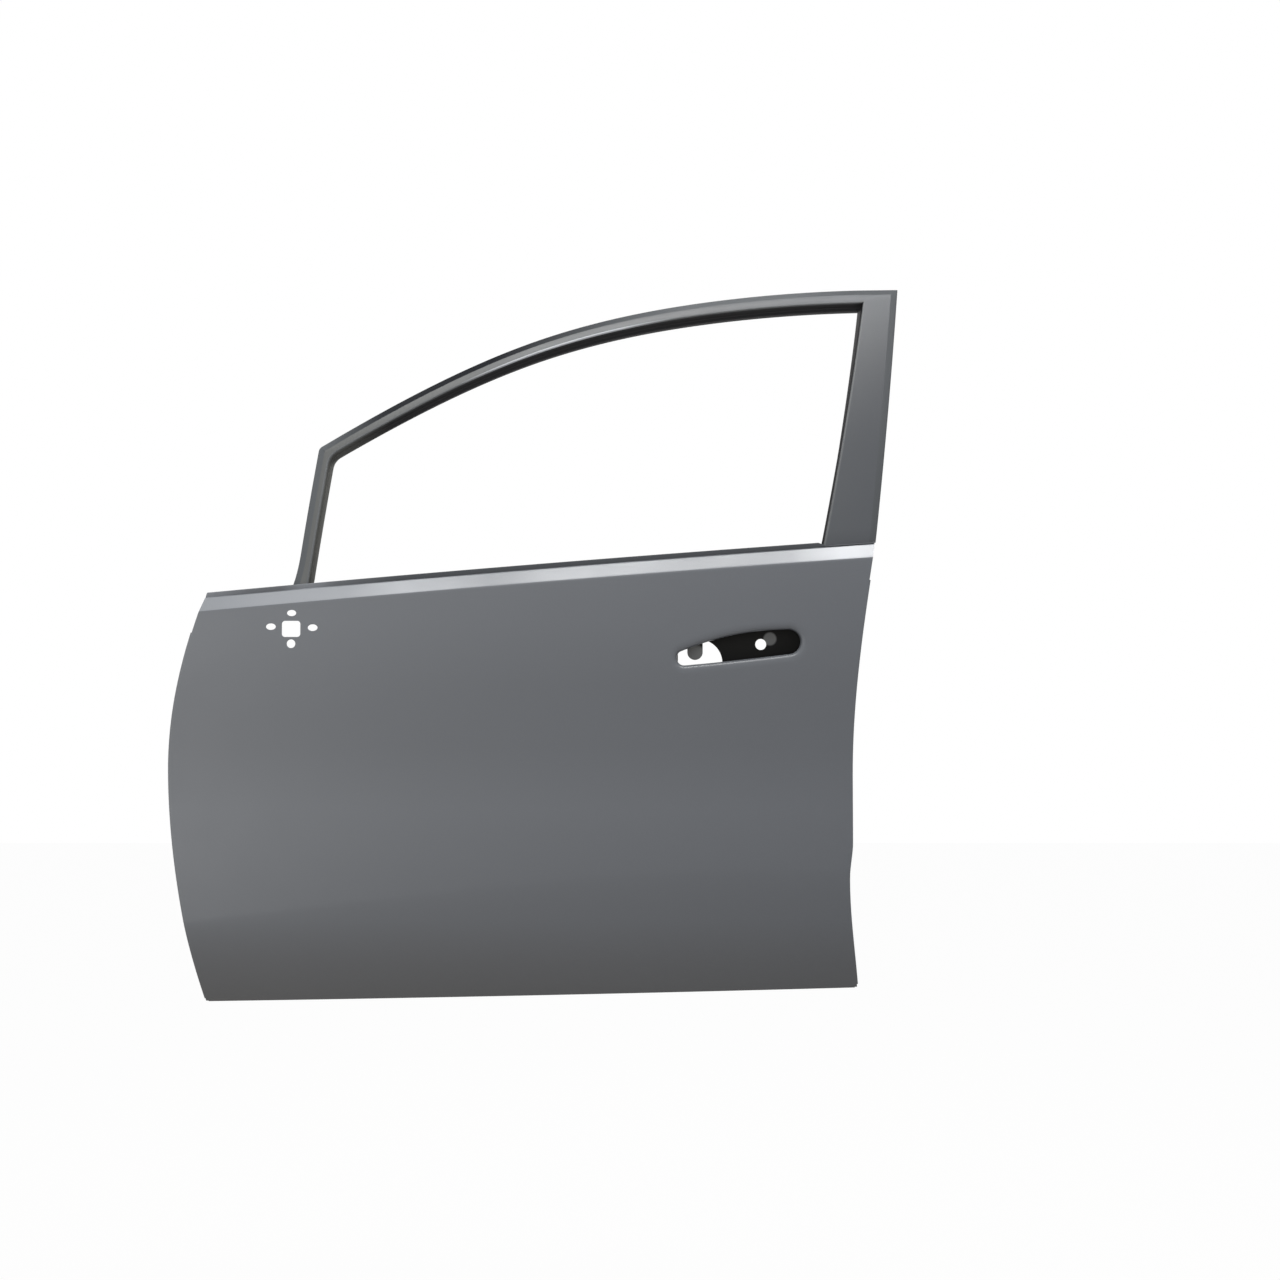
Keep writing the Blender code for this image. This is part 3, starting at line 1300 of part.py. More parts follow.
def sash_bracket(name, places, heights, material, collection):
    """A cranked strap from the back of the window frame to the land of the inner panel."""
    land = LAND_Y - INNER_T - SEAT
    rows = []
    for k, x in enumerate(places):
        line = []
        for z in heights:
            back = frame_y(x, z) + FRAME_DEPTH / inward(x, z, frame_y).y + SEAT + PLATE_T
            line.append(Vector((x, back if k < 2 else land, z)))
        rows.append(line)
    return ribbon(name, rows, PLATE_T, (0, 1, 0), material, collection)


def mastic_pads(material, collection):
    """Pads of mastic between the impact beam and the outer panel."""
    front, rear = beam_ends()
    for k, share in enumerate((0.28, 0.5, 0.72)):
        spot = front.lerp(rear, share)
        inner = spot.y - BEAM_R - SEAT
        bm = bmesh.new()
        line = ellipse(spot.x, spot.z, PAD_D, PAD_D, 12)
        ring = first_ring(bm, [behind_skin(x, z, SKIN_T + 2 * SEAT) for x, z in line])
        bmesh.ops.contextual_create(bm, geom=ring_edges(ring))
        ring = next_ring(bm, ring, [Vector((x, inner, z)) for x, z in line])
        bmesh.ops.contextual_create(bm, geom=ring_edges(ring))
        bmesh.ops.recalc_face_normals(bm, faces=bm.faces)
        mesh = bpy.data.meshes.new(f"mastic_pad_{k + 1}")
        bm.to_mesh(mesh)
        bm.free()
        add_object(mesh.name, mesh, material, collection)


def build():
    for thing in list(bpy.data.objects):
        bpy.data.objects.remove(thing, do_unlink=True)
    door = bpy.data.collections.new("car_door_shell")
    cutters = bpy.data.collections.new("cutters")
    bpy.context.scene.collection.children.link(door)
    bpy.context.scene.collection.children.link(cutters)
    primer = finish("primer", (0.150, 0.163, 0.178), 0.45)
    coat = finish("dip_coat", (0.045, 0.048, 0.050), 0.50)
    mastic = finish("mastic", (0.020, 0.020, 0.020), 0.80)
    outer_panel(primer, door)
    frame_outer(primer, door, cutters)
    frame_inner(primer, door, cutters)
    inner_panel(coat, door, cutters)
    outer_belt(coat, door)
    inner_belt(coat, door)
    panel_stiffener(coat, door)
    impact_beam(coat, door)
    front, rear = beam_ends()
    beam_bracket("beam_bracket_front", front, rear, 1, coat, door)
    beam_bracket("beam_bracket_rear", rear, front, -1, coat, door)
    mastic_pads(mastic, door)
    hinge_plates(coat, door)
    wall_fittings(coat, door)
    mirror_plate(coat, door)
    handle_pan(coat, door)
    sash_bracket("front_sash_bracket", FRONT_SASH_X, FRONT_SASH_Z, coat, door)
    sash_bracket("rear_sash_bracket", REAR_SASH_X, REAR_SASH_Z, coat, door)


build()
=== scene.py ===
import json
import math

import bmesh
import bpy
from mathutils import Matrix, Vector

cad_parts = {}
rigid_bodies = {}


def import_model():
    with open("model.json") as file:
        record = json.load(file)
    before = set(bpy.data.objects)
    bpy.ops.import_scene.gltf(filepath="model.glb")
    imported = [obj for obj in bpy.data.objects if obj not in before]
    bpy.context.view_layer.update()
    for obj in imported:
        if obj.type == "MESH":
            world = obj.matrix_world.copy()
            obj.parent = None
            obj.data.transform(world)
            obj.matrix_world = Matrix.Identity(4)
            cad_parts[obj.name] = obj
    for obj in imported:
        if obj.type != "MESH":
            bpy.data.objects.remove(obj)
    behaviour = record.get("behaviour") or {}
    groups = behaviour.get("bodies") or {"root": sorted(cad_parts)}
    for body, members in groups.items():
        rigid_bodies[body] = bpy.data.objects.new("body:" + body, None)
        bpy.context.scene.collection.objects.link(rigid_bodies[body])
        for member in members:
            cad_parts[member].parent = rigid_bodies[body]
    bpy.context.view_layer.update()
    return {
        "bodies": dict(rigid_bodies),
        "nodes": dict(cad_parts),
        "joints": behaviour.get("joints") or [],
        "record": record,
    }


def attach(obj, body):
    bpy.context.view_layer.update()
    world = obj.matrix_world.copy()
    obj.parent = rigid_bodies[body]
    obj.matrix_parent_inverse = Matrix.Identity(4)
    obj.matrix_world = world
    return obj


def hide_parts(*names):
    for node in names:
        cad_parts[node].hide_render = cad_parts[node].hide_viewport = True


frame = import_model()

nodes = frame["nodes"]


# Meshes, objects and modifiers
def meshFrom(name, bm):
    mesh = bpy.data.meshes.new(name)
    bm.to_mesh(mesh)
    bm.free()
    return mesh


def objectFrom(name, data, collection=None):
    thing = bpy.data.objects.new(name, data)
    (collection or bpy.context.scene.collection).objects.link(thing)
    return thing


def roundEdges(piece, width, turn, segments):
    rounds = piece.modifiers.new("rounds", "BEVEL")
    rounds.limit_method = "ANGLE"
    rounds.angle_limit = math.radians(turn)
    rounds.width = width
    rounds.segments = segments
    rounds.profile = 0.5
    return rounds


# A bevel goes on the sheet before it gets its wall, so both faces of a fold stay parallel
def sheetPiece(name, bm, thickness, materials, bevel=0, turn=30, even=True):
    mesh = meshFrom(name, bm)
    mesh.shade_smooth()
    for material in materials:
        mesh.materials.append(material)
    piece = objectFrom(name, mesh)
    if bevel:
        roundEdges(piece, bevel, turn, 3)
        weld = piece.modifiers.new("weld", "WELD")
        weld.merge_threshold = 0.00015
    wall = piece.modifiers.new("wall", "SOLIDIFY")
    wall.thickness = thickness
    wall.offset = -1
    wall.use_even_offset = even
    return piece


def cut(piece, cutter):
    hole = piece.modifiers.new(cutter.name, "BOOLEAN")
    hole.operation = "DIFFERENCE"
    hole.solver = "MANIFOLD"
    hole.object = cutter


def finished(piece, sharp=32):
    graph = bpy.context.evaluated_depsgraph_get()
    mesh = bpy.data.meshes.new_from_object(piece.evaluated_get(graph))
    piece.modifiers.clear()
    piece.data = mesh
    mesh.shade_smooth()
    mesh.set_sharp_from_angle(angle=math.radians(sharp))
    even = piece.modifiers.new("even", "WEIGHTED_NORMAL")
    even.keep_sharp = True
    even.weight = 90
    return piece


def refined(node, material, bevel, sharp=30):
    mesh = nodes[node].data.copy()
    bm = bmesh.new()
    bm.from_mesh(mesh)
    bmesh.ops.remove_doubles(bm, verts=bm.verts, dist=0.00002)
    bmesh.ops.dissolve_limit(bm, angle_limit=math.radians(0.5), verts=bm.verts, edges=bm.edges)
    bmesh.ops.recalc_face_normals(bm, faces=bm.faces)
    bm.to_mesh(mesh)
    bm.free()
    mesh.materials.clear()
    mesh.materials.append(material)
    mesh.shade_smooth()
    mesh.set_sharp_from_angle(angle=math.radians(sharp))
    piece = objectFrom(node + "Fine", mesh)
    roundEdges(piece, bevel, sharp, 2).harden_normals = True
    return piece


# Curves, outlines and rings
def mix(a, b, share):
    return a + (b - a) * share


# Smooth curve through stations, each with its place, its value and its slope
def curveAt(stations, place):
    first, last = stations[0], stations[-1]
    if place <= first[0]:
        return first[1] + first[2] * (place - first[0])
    if place >= last[0]:
        return last[1] + last[2] * (place - last[0])
    for (p0, v0, s0), (p1, v1, s1) in zip(stations, stations[1:]):
        if place <= p1:
            span = p1 - p0
            k = (place - p0) / span
            start = v0 * (1 + 2 * k) * (1 - k) ** 2 + s0 * span * k * (1 - k) ** 2
            return start + v1 * k * k * (3 - 2 * k) + s1 * span * k * k * (k - 1)


def spread(stations, longest):
    filled = [stations[0]]
    for a, b in zip(stations, stations[1:]):
        steps = max(1, math.ceil((b - a) / longest - 1e-6))
        filled += [mix(a, b, k / steps) for k in range(1, steps + 1)]
    return filled


def nearest(stations, value):
    return min(range(len(stations)), key=lambda k: abs(stations[k] - value))


def arc(x, z, radius, start, end, steps):
    angles = [math.radians(mix(start, end, k / steps)) for k in range(steps + 1)]
    return [(x + radius * math.cos(a), z + radius * math.sin(a)) for a in angles]


def roundedBox(x, z, width, height, radius, steps):
    dx, dz = width / 2 - radius, height / 2 - radius
    corners = ((dx, dz, 0), (-dx, dz, 90), (-dx, -dz, 180), (dx, -dz, 270))
    return [p for cx, cz, turn in corners
            for p in arc(x + cx, z + cz, radius, turn, turn + 90, steps)]


def ellipse(x, z, width, height, count):
    turns = [2 * math.pi * k / count for k in range(count)]
    return [(x + width / 2 * math.cos(t), z + height / 2 * math.sin(t)) for t in turns]


def disc(x, z, across, count):
    return ellipse(x, z, across, across, count)


def cornerArc(before, corner, after, radius, steps=10):
    corner = Vector(corner)
    start = corner + (Vector(before) - corner).normalized() * radius
    end = corner + (Vector(after) - corner).normalized() * radius
    return [tuple(start * (1 - t) ** 2 + corner * 2 * t * (1 - t) + end * t * t)
            for t in (k / steps for k in range(steps + 1))]


def mitre(before, here, after):
    a, b = (here - before).normalized(), (after - here).normalized()
    na, nb = Vector((a.y, -a.x)), Vector((b.y, -b.x))
    return (na + nb) / (1 + na.dot(nb))


def outset(outline, distance):
    moved = []
    for k, point in enumerate(outline):
        here = Vector(point)
        after = Vector(outline[(k + 1) % len(outline)])
        moved.append(tuple(here + mitre(Vector(outline[k - 1]), here, after) * distance))
    return moved


def gridSheet(rows):
    bm = bmesh.new()
    across, up = len(rows[0]) - 1, len(rows) - 1
    made = bmesh.ops.create_grid(bm, x_segments=across, y_segments=up, size=0.5)["verts"]
    verts = {}
    for vert in made:
        verts[round((vert.co.x + 0.5) * across), round((vert.co.y + 0.5) * up)] = vert
    for (column, row), vert in verts.items():
        vert.co = rows[row][column]
    bm.normal_update()
    return bm, {vert: spot for spot, vert in verts.items()}


def cellsOf(bm, spots):
    cells = {}
    for face in bm.faces:
        corners = [spots[v] for v in face.verts if v in spots]
        if len(corners) == 4:
            cells[min(c[0] for c in corners), min(c[1] for c in corners)] = face
    return cells


def openPatch(bm, faces):
    chosen = set(faces)
    border = [e for f in faces for e in f.edges if sum(g in chosen for g in e.link_faces) == 1]
    bmesh.ops.delete(bm, geom=faces, context="FACES")
    return border


def ringEdges(ring):
    pairs = zip(ring, ring[1:] + ring[:1])
    return [next(e for e in a.link_edges if e.other_vert(a) is b) for a, b in pairs]


def firstRing(bm, points):
    made = bmesh.ops.create_circle(bm, segments=len(points), radius=1)["verts"]
    ring = sorted(made, key=lambda v: math.atan2(v.co.y, v.co.x))
    for vert, point in zip(ring, points):
        vert.co = point
    return ring


def nextRing(bm, ring, points):
    made = bmesh.ops.extrude_edge_only(bm, edges=ringEdges(ring))["geom"]
    fresh = {v for v in made if isinstance(v, bmesh.types.BMVert)}
    grown = [next(e.other_vert(v) for e in v.link_edges if e.other_vert(v) in fresh)
             for v in ring]
    for vert, point in zip(grown, points):
        vert.co = point
    return grown


def fillBetween(bm, edges, normal):
    bmesh.ops.triangle_fill(bm, edges=edges, use_beauty=True, normal=normal)


def faceTowards(bm, direction):
    bmesh.ops.recalc_face_normals(bm, faces=bm.faces)
    total = sum((f.normal * f.calc_area() for f in bm.faces), Vector())
    if total.dot(Vector(direction)) < 0:
        bmesh.ops.reverse_faces(bm, faces=bm.faces)


# Cutters for holes through a sheet
def cutterFrom(name, bm):
    cutter = objectFrom(name, meshFrom(name, bm), cutters)
    cutter.hide_render = True
    cutter.display_type = "WIRE"
    return cutter


def prismCutter(name, outline, place, depth):
    bm = bmesh.new()
    ring = firstRing(bm, [Vector((a, b, -depth / 2)) for a, b in outline])
    foot = bmesh.ops.contextual_create(bm, geom=ringEdges(ring))["faces"]
    ring = nextRing(bm, ring, [Vector((a, b, depth / 2)) for a, b in outline])
    bmesh.ops.contextual_create(bm, geom=ringEdges(ring))
    bmesh.ops.recalc_face_normals(bm, faces=bm.faces)
    if foot[0].normal.z > 0:
        bmesh.ops.reverse_faces(bm, faces=bm.faces)
    cutter = cutterFrom(name, bm)
    cutter.matrix_world = place
    return cutter


def blockCutter(name, low, high, move):
    bm = bmesh.new()
    for vert in bmesh.ops.create_cube(bm, size=1)["verts"]:
        vert.co = move(Vector(mix(a, b, c + 0.5) for a, b, c in zip(low, high, vert.co)))
    bmesh.ops.recalc_face_normals(bm, faces=bm.faces)
    return cutterFrom(name, bm)


def acrossY(x, y, z):
    return Matrix.Translation((x, y, z)) @ Matrix.Rotation(math.radians(90), 4, "X")


def acrossX(x, y, z):
    turn = Matrix(((0, 0, 1, 0), (1, 0, 0, 0), (0, 1, 0, 0), (0, 0, 0, 1)))
    return Matrix.Translation((x, y, z)) @ turn


cutters = bpy.data.collections.new("cutters")
bpy.context.scene.collection.children.link(cutters)


# Lines of the door's outline and its sections
door = {
    "length": 1.108,
    "creaseZ": 0.1165,
    "creaseRise": 0.0805,
    "creaseArch": 0.003,
    "sillZ": -0.5184,
    "sillRise": 0.0226,
    "frontTopX": 0.017,
    "frontTopSlope": 0.36,
    "frontBulgeX": -0.040,
    "frontBulgeZ": -0.135,
    "frontFootX": 0.017,
    "frontFootSlope": -0.24,
    "rearTopSlope": 0.17,
    "rearMidIn": 0.0395,
    "rearMidZ": -0.150,
    "rearWaistTopZ": -0.254,
    "rearWaistIn": 0.0444,
    "rearWaistZ": -0.311,
    "rearFootIn": 0.028,
    "rearFootSlope": -0.10,
    "bowX": 0.650,
    "bowR": 13.0,
    "bodySection": (
        (0.00, 0.0000, 0.054),
        (0.18, 0.0065, 0.022),
        (0.38, 0.0085, 0.000),
        (0.55, 0.0095, 0.012),
        (0.78, 0.0145, 0.027),
        (1.00, 0.0190, 0.010),
    ),
    "flankLine": ((0.02, -0.379, 0.125), (0.74, -0.303, 0.06), (1.07, -0.298, 0.0)),
    "tuck": 0.034,
    "tuckPower": 1.6,
    "shoulderY": -0.045,
    "creaseR": 0.003,
    "bandH": 0.0215,
    "bandIn": 0.014,
    "stripH": 0.009,
    "stripHRear": 0.003,
    "stripEnd": 0.006,
    "stripStep": 0.0025,
    "stripLean": 0.0012,
    "stripSill": 0.001,
}
length = door["length"]


def creaseZ(x):
    half = length / 2
    return door["creaseZ"] + door["creaseRise"] * x + door["creaseArch"] * (1 - ((x - half) / half) ** 2)


def bandTopZ(x):
    return creaseZ(x) + door["bandH"]


def sillZ(x):
    return door["sillZ"] + door["sillRise"] * x


def flankZ(x):
    return curveAt(door["flankLine"], x)


def frontX(z):
    return curveAt((
        (door["sillZ"], door["frontFootX"], door["frontFootSlope"]),
        (door["frontBulgeZ"], door["frontBulgeX"], 0),
        (bandTopZ(0) + door["stripH"], door["frontTopX"], door["frontTopSlope"]),
    ), z)


def rearX(z):
    return curveAt((
        (sillZ(length), length - door["rearFootIn"], door["rearFootSlope"]),
        (door["rearWaistZ"], length - door["rearWaistIn"], 0),
        (door["rearWaistTopZ"], length - door["rearMidIn"], 0),
        (door["rearMidZ"], length - door["rearMidIn"], 0),
        (bandTopZ(length), length, door["rearTopSlope"]),
    ), z)


def bow(x):
    return (x - door["bowX"]) ** 2 / (2 * door["bowR"])


def bandY(rise):
    return door["shoulderY"] + door["bandIn"] * rise / door["bandH"]


def skinY(x, z):
    height = z - creaseZ(x)
    if height >= 0:
        return bow(x) + bandY(height)
    line = flankZ(x)
    if z >= line:
        swell = curveAt(door["bodySection"], height / (line - creaseZ(x)))
    else:
        share = (line - z) / (line - sillZ(x))
        swell = door["bodySection"][-1][1] - door["tuck"] * share ** door["tuckPower"]
    return bow(x) + door["shoulderY"] - swell


def inward(x, z, surface=skinY, step=0.0004):
    riseX = (surface(x + step, z) - surface(x - step, z)) / (2 * step)
    riseZ = (surface(x, z + step) - surface(x, z - step)) / (2 * step)
    return Vector((-riseX, 1, -riseZ)).normalized()


def behindSkin(x, z, depth=0.0):
    return Vector((x, skinY(x, z) + depth / inward(x, z).y, z))


# Outer panel: one sheet with hems, shoulder, mirror holes and a dipped handle opening
skin = {
    "wall": 0.0008,
    "seat": 0.0003,
    "hemGap": 0.0008,
    "innerWall": 0.0008,
    "beltHem": 0.008,
    "hem": 0.012,
    "hemNotch": 0.004,
    "hemTopDrop": 0.030,
    "hemMitre": 0.8,
    "foldTurns": (36, 72, 108, 144, 180),
    "mirrorX": 0.1605,
    "mirrorZ": 0.0895,
    "mirrorSquare": (0.030, 0.026, 0.005),
    "mirrorOvals": (
        (0.0005, 0.0257, 0.015, 0.010),
        (-0.033, 0.0036, 0.016, 0.0105),
        (0.035, 0.0020, 0.016, 0.0108),
        (0.0001, -0.0240, 0.014, 0.014),
    ),
    "handleFront": (0.7189 * length, 0.0425, 0.0125),
    "handleRear": (0.8705 * length, 0.0687, 0.0204),
    "handleFrontTurn": (125, 275, 26),
    "handleRearTurn": (-80, 100, 36),
    "handleArch": 0.0088,
    "handleSag": 0.0008,
    "handleSteps": 30,
    "handleDip": (
        (0.014, 0.0), (0.0125, 0.00004), (0.011, 0.00012), (0.0095, 0.00026), (0.008, 0.00046),
        (0.0065, 0.00075), (0.005, 0.00115), (0.0037, 0.0017), (0.0026, 0.0024), (0.0017, 0.0032),
        (0.0009, 0.0042), (0.0003, 0.0054), (0.0, 0.0068), (-0.0004, 0.0100),
    ),
    "patchEdge": 0.010,
    "step": 0.0065,
    "extraRows": (0.30, 0.62),
    # Height above the crease where the shoulder's painted highlight begins
    "paintedHighlightFrom": 0.0006,
}
skin["hemR"] = skin["wall"] + skin["hemGap"] + skin["innerWall"] / 2
skin["beltHemR"] = skin["wall"] + skin["seat"]


def handleOutline():
    def bowed(start, end, bulge):
        shares = [k / skin["handleSteps"] for k in range(1, skin["handleSteps"])]
        return [(mix(start[0], end[0], t), mix(start[1], end[1], t) + bulge * 4 * t * (1 - t))
                for t in shares]

    rear = arc(*skin["handleRear"], *skin["handleRearTurn"])
    front = arc(*skin["handleFront"], *skin["handleFrontTurn"])
    crown = bowed(rear[-1], front[0], skin["handleArch"])
    return rear + crown + front + bowed(front[-1], rear[0], -skin["handleSag"])


def mirrorOutlines():
    outlines = [roundedBox(skin["mirrorX"], skin["mirrorZ"], *skin["mirrorSquare"], 7)]
    for dx, dz, wide, high in skin["mirrorOvals"]:
        outlines.append(ellipse(skin["mirrorX"] + dx, skin["mirrorZ"] + dz, wide, high, 28))
    return outlines


def rowZ(x, share):
    return mix(sillZ(x) + skin["hemR"], creaseZ(x) - door["creaseR"], share)


def columnX(z, share):
    return mix(frontX(z) + skin["hemR"], rearX(z) - skin["hemR"], share)


def lengthShare(x, z):
    return (x - columnX(z, 0)) / (columnX(z, 1) - columnX(z, 0))


def heightShare(x, z):
    return (z - rowZ(x, 0)) / (rowZ(x, 1) - rowZ(x, 0))


def skinPlace(u, w):
    x = u * length
    for _ in range(8):
        z = rowZ(x, w)
        x = columnX(z, u)
    return x, z


# Left, right, foot and head of the patches that hold the mirror holes and the handle opening
def patchLimits():
    edge, ovals = skin["patchEdge"], skin["mirrorOvals"]
    (fx, fz, fr), (rx, rz, rr) = skin["handleFront"], skin["handleRear"]
    reach = skin["handleDip"][0][0] + edge
    handle = (fx - fr - reach, rx + rr + reach, fz - fr - reach, rz + rr + reach)
    mirror = (skin["mirrorX"] + min(o[0] - o[2] / 2 for o in ovals) - edge,
              skin["mirrorX"] + max(o[0] + o[2] / 2 for o in ovals) + edge,
              skin["mirrorZ"] + min(o[1] - o[3] / 2 for o in ovals) - edge)
    return mirror, handle


def patchShares():
    mirror, handle = patchLimits()
    middle = (handle[0] + handle[1]) / 2
    return (
        (*(lengthShare(x, skin["mirrorZ"]) for x in mirror[:2]), heightShare(skin["mirrorX"], mirror[2]), 1),
        (*(lengthShare(x, skin["handleRear"][1]) for x in handle[:2]),
         *(heightShare(middle, z) for z in handle[2:])),
    )


def skinStations():
    span, height = columnX(0, 1) - columnX(0, 0), rowZ(0, 1) - rowZ(0, 0)
    notch, hem = skin["hemNotch"], skin["hemNotch"] + skin["hem"]
    flank = heightShare(length / 2, flankZ(length / 2))
    columns = [0, notch / span, hem / span, 1 - hem / span, 1 - notch / span, 1]
    rows = [0, notch / height, hem / height, flank, 1 - skin["hemTopDrop"] / height, 1]
    rows += [flank * share for share in skin["extraRows"]]
    for left, right, foot, head in patchShares():
        columns += [left, right]
        rows += [foot] if head == 1 else [foot, head]
    return spread(sorted(columns), skin["step"]), spread(sorted(rows), skin["step"])


def stripH(x):
    end = door["stripEnd"]
    share = min(max((x - postInnerX(bandTopZ(length)) + end) / end, 0), 1)
    return mix(door["stripH"], door["stripHRear"], share)


# Rise above the crease and place across the door, from the crease to the folded edge at the window
def shoulderProfile(x):
    radius, band, fold = door["creaseR"], door["bandH"], skin["beltHemR"]
    shoulder, edge, sill = door["shoulderY"], bandY(band), door["stripSill"]
    top = band + stripH(x) - fold
    foot = edge + door["stripStep"]
    head = foot - door["stripLean"]
    low = skinY(x, creaseZ(x) - radius) - bow(x)
    profile = []
    for t in (0.2, 0.4, 0.6, 0.8, 1.0):
        rise = radius * (t * t - (1 - t) ** 2)
        profile.append((rise, low * (1 - t) ** 2 + shoulder * 2 * t * (1 - t) + bandY(radius) * t * t))
    for share in (0.3, 0.6, 0.9, 0.96):
        rise = mix(radius, band, share)
        profile.append((rise, bandY(rise)))
    profile += [
        (band, mix(edge, foot, 0.12)),
        (band + sill * 0.5, mix(edge, foot, 0.62)),
        (band + sill * 1.3, foot),
        (mix(band, top, 0.5), mix(foot, head, 0.5)),
        (top, head),
    ]
    for turn in skin["foldTurns"]:
        angle = math.radians(turn)
        profile.append((top + fold * math.sin(angle), head + fold * (1 - math.cos(angle))))
    return profile + [(top - skin["beltHem"], head + 2 * fold)]


def foldPoints(edge, normal, towards, width):
    centre = edge + normal * skin["hemR"]
    turns = [math.radians(a) for a in skin["foldTurns"]]
    points = [centre - (towards * math.sin(a) + normal * math.cos(a)) * skin["hemR"] for a in turns]
    return points + [edge + normal * 2 * skin["hemR"] + towards * width]


def hemWidth(distance):
    return min(skin["hem"], skin["hemNotch"] / 2 + skin["hemMitre"] * max(distance - skin["hemNotch"], 0))


# Points of the hem at one share of an edge, and the place of that edge
def hemLine(place, share, inside, width):
    x, z = place(share)
    ahead, back = Vector(place(min(share + 0.01, 1))), Vector(place(max(share - 0.01, 0)))
    run = (ahead - back).normalized()
    normal = inward(x, z)
    along = Vector((run.x, -(normal.x * run.x + normal.z * run.y) / normal.y, run.y))
    towards = along.normalized().cross(normal)
    if towards.dot(Vector(inside)) < 0:
        towards.negate()
    return foldPoints(behindSkin(x, z), normal, towards, hemWidth(width(x, z)))


def skinRows(columns, rows):
    none = [Vector((0, 0, 0))] * (len(skin["foldTurns"]) + 1)
    sill = [hemLine(lambda t: skinPlace(t, 0), u, (0, 0, 1), lambda x, z: min(u, 1 - u) * length)
            for u in columns]
    points = [none + list(line) + none for line in reversed(list(zip(*sill)))]
    for w in rows:
        front, rear = (hemLine(lambda t: skinPlace(u, t), w, inside, lambda x, z: z - rowZ(x, 0))
                       for u, inside in ((0, (1, 0, 0)), (1, (-1, 0, 0))))
        points.append(front[::-1] + [behindSkin(*skinPlace(u, w)) for u in columns] + rear)
    for step in range(len(shoulderProfile(0))):
        line = []
        for u in columns:
            x = skinPlace(u, 1)[0]
            for _ in range(4):
                height, depth = shoulderProfile(x)[step]
                z = creaseZ(x) + height
                x = columnX(z, u)
            line.append(Vector((x, bow(x) + depth, z)))
        points.append(none + line + none)
    return points


def outerPanel(materials):
    columns, rows = skinStations()
    bm, spots = gridSheet(skinRows(columns, rows))
    first = len(skin["foldTurns"]) + 1
    last = first + len(columns) - 1
    hemTop = first + nearest(rows, 1 - skin["hemTopDrop"] / (rowZ(0, 1) - rowZ(0, 0)))
    notched = []
    for (i, j), face in cellsOf(bm, spots).items():
        onSide = (i < first or i >= last) and (j <= first or j >= hemTop)
        onSill = j < first and (i <= first or i >= last - 1)
        if onSide or onSill:
            notched.append(face)
    bmesh.ops.delete(bm, geom=notched, context="FACES")

    holes = (mirrorOutlines(), [outset(handleOutline(), skin["handleDip"][0][0])])
    for (left, right, foot, head), outlines in zip(patchShares(), holes):
        i0, i1 = (first + nearest(columns, u) for u in (left, right))
        j0, j1 = (first + nearest(rows, w) for w in (foot, head))
        faces = [f for (i, j), f in cellsOf(bm, spots).items() if i0 <= i < i1 and j0 <= j < j1]
        edges = openPatch(bm, faces)
        rings = [firstRing(bm, [behindSkin(x, z) for x, z in line]) for line in outlines]
        fillBetween(bm, edges + [e for ring in rings for e in ringEdges(ring)], (0, -1, 0))
    ring = rings[0]
    for offset, depth in skin["handleDip"][1:]:
        line = outset(handleOutline(), offset)
        ring = nextRing(bm, ring, [behindSkin(x, z, depth) for x, z in line])
    faceTowards(bm, (0, -1, 0))
    # Faces above the shoulder band get the strip paint's painted highlight and painted shade, faces on the
    # band the shoulder paint's painted highlight
    for face in bm.faces:
        middle = face.calc_center_median()
        rise = middle.z - creaseZ(middle.x)
        face.material_index = 1 if rise > door["bandH"] else 2 if rise > skin["paintedHighlightFrom"] else 0
    return finished(sheetPiece("outerPanelFine", bm, skin["wall"], materials))


# Window frame: each half is one section swept along the outer and inner edge of the frame
window = {
    "uprightSlope": 0.134,
    "cornerX": 0.193,
    "cornerZ": 0.391,
    "roofEndX": 1.162,
    "roofEndZ": 0.667,
    "roofSlope": 0.62,
    "roofLine": ((0.556, 0.578, 0.36), (0.861, 0.648, 0.13)),
    "postSlope": 0.118,
    "uprightW": 0.0217,
    "headerW": 0.0268,
    "headerWFront": 0.0236,
    "postWTop": 0.0575,
    "postWBelt": 0.0856,
    "postFlare": 1.3,
    "flare": 0.0045,
    "flareH": 0.050,
    "frameY": -0.0265,
    "frameFootH": 0.030,
    "frameLean": math.tan(math.radians(8)),
    "frameR": 1.250,
    "frameDepth": 0.036,
    "channelDepth": 0.014,
    "lipW": 0.0066,
    "lipWPost": 0.0072,
    "lipWFoot": 0.0010,
    "uprightDrop": 0.004,
    "postDrop": 0.060,
    "postNotchIn": 0.032,
    "postCornerRun": 0.012,
    "cornerROut": 0.006,
    "cornerRIn": 0.016,
    "uprightSteps": 18,
    "headerSteps": 84,
    "postSteps": 26,
    "wall": 0.0010,
    "bevel": 0.0007,
    "bevelTurn": 22,
}


def frameY(x, z):
    lift = max(z - creaseZ(x) - window["frameFootH"], 0)
    return bow(x) + window["frameY"] + window["frameLean"] * lift + lift * lift / (2 * window["frameR"])


def uprightX(z):
    return window["cornerX"] + window["uprightSlope"] * (z - window["cornerZ"])


def roofZ(x):
    return curveAt((
        (window["cornerX"], window["cornerZ"], window["roofSlope"]),
        *window["roofLine"],
        (window["roofEndX"], window["roofEndZ"], 0),
    ), x)


def postOuterX(z):
    return window["roofEndX"] + window["postSlope"] * (z - window["roofEndZ"])


def postInnerX(z):
    share = max((window["roofEndZ"] - z) / (window["roofEndZ"] - bandTopZ(length)), 0)
    return postOuterX(z) - mix(window["postWTop"], window["postWBelt"], share ** window["postFlare"])


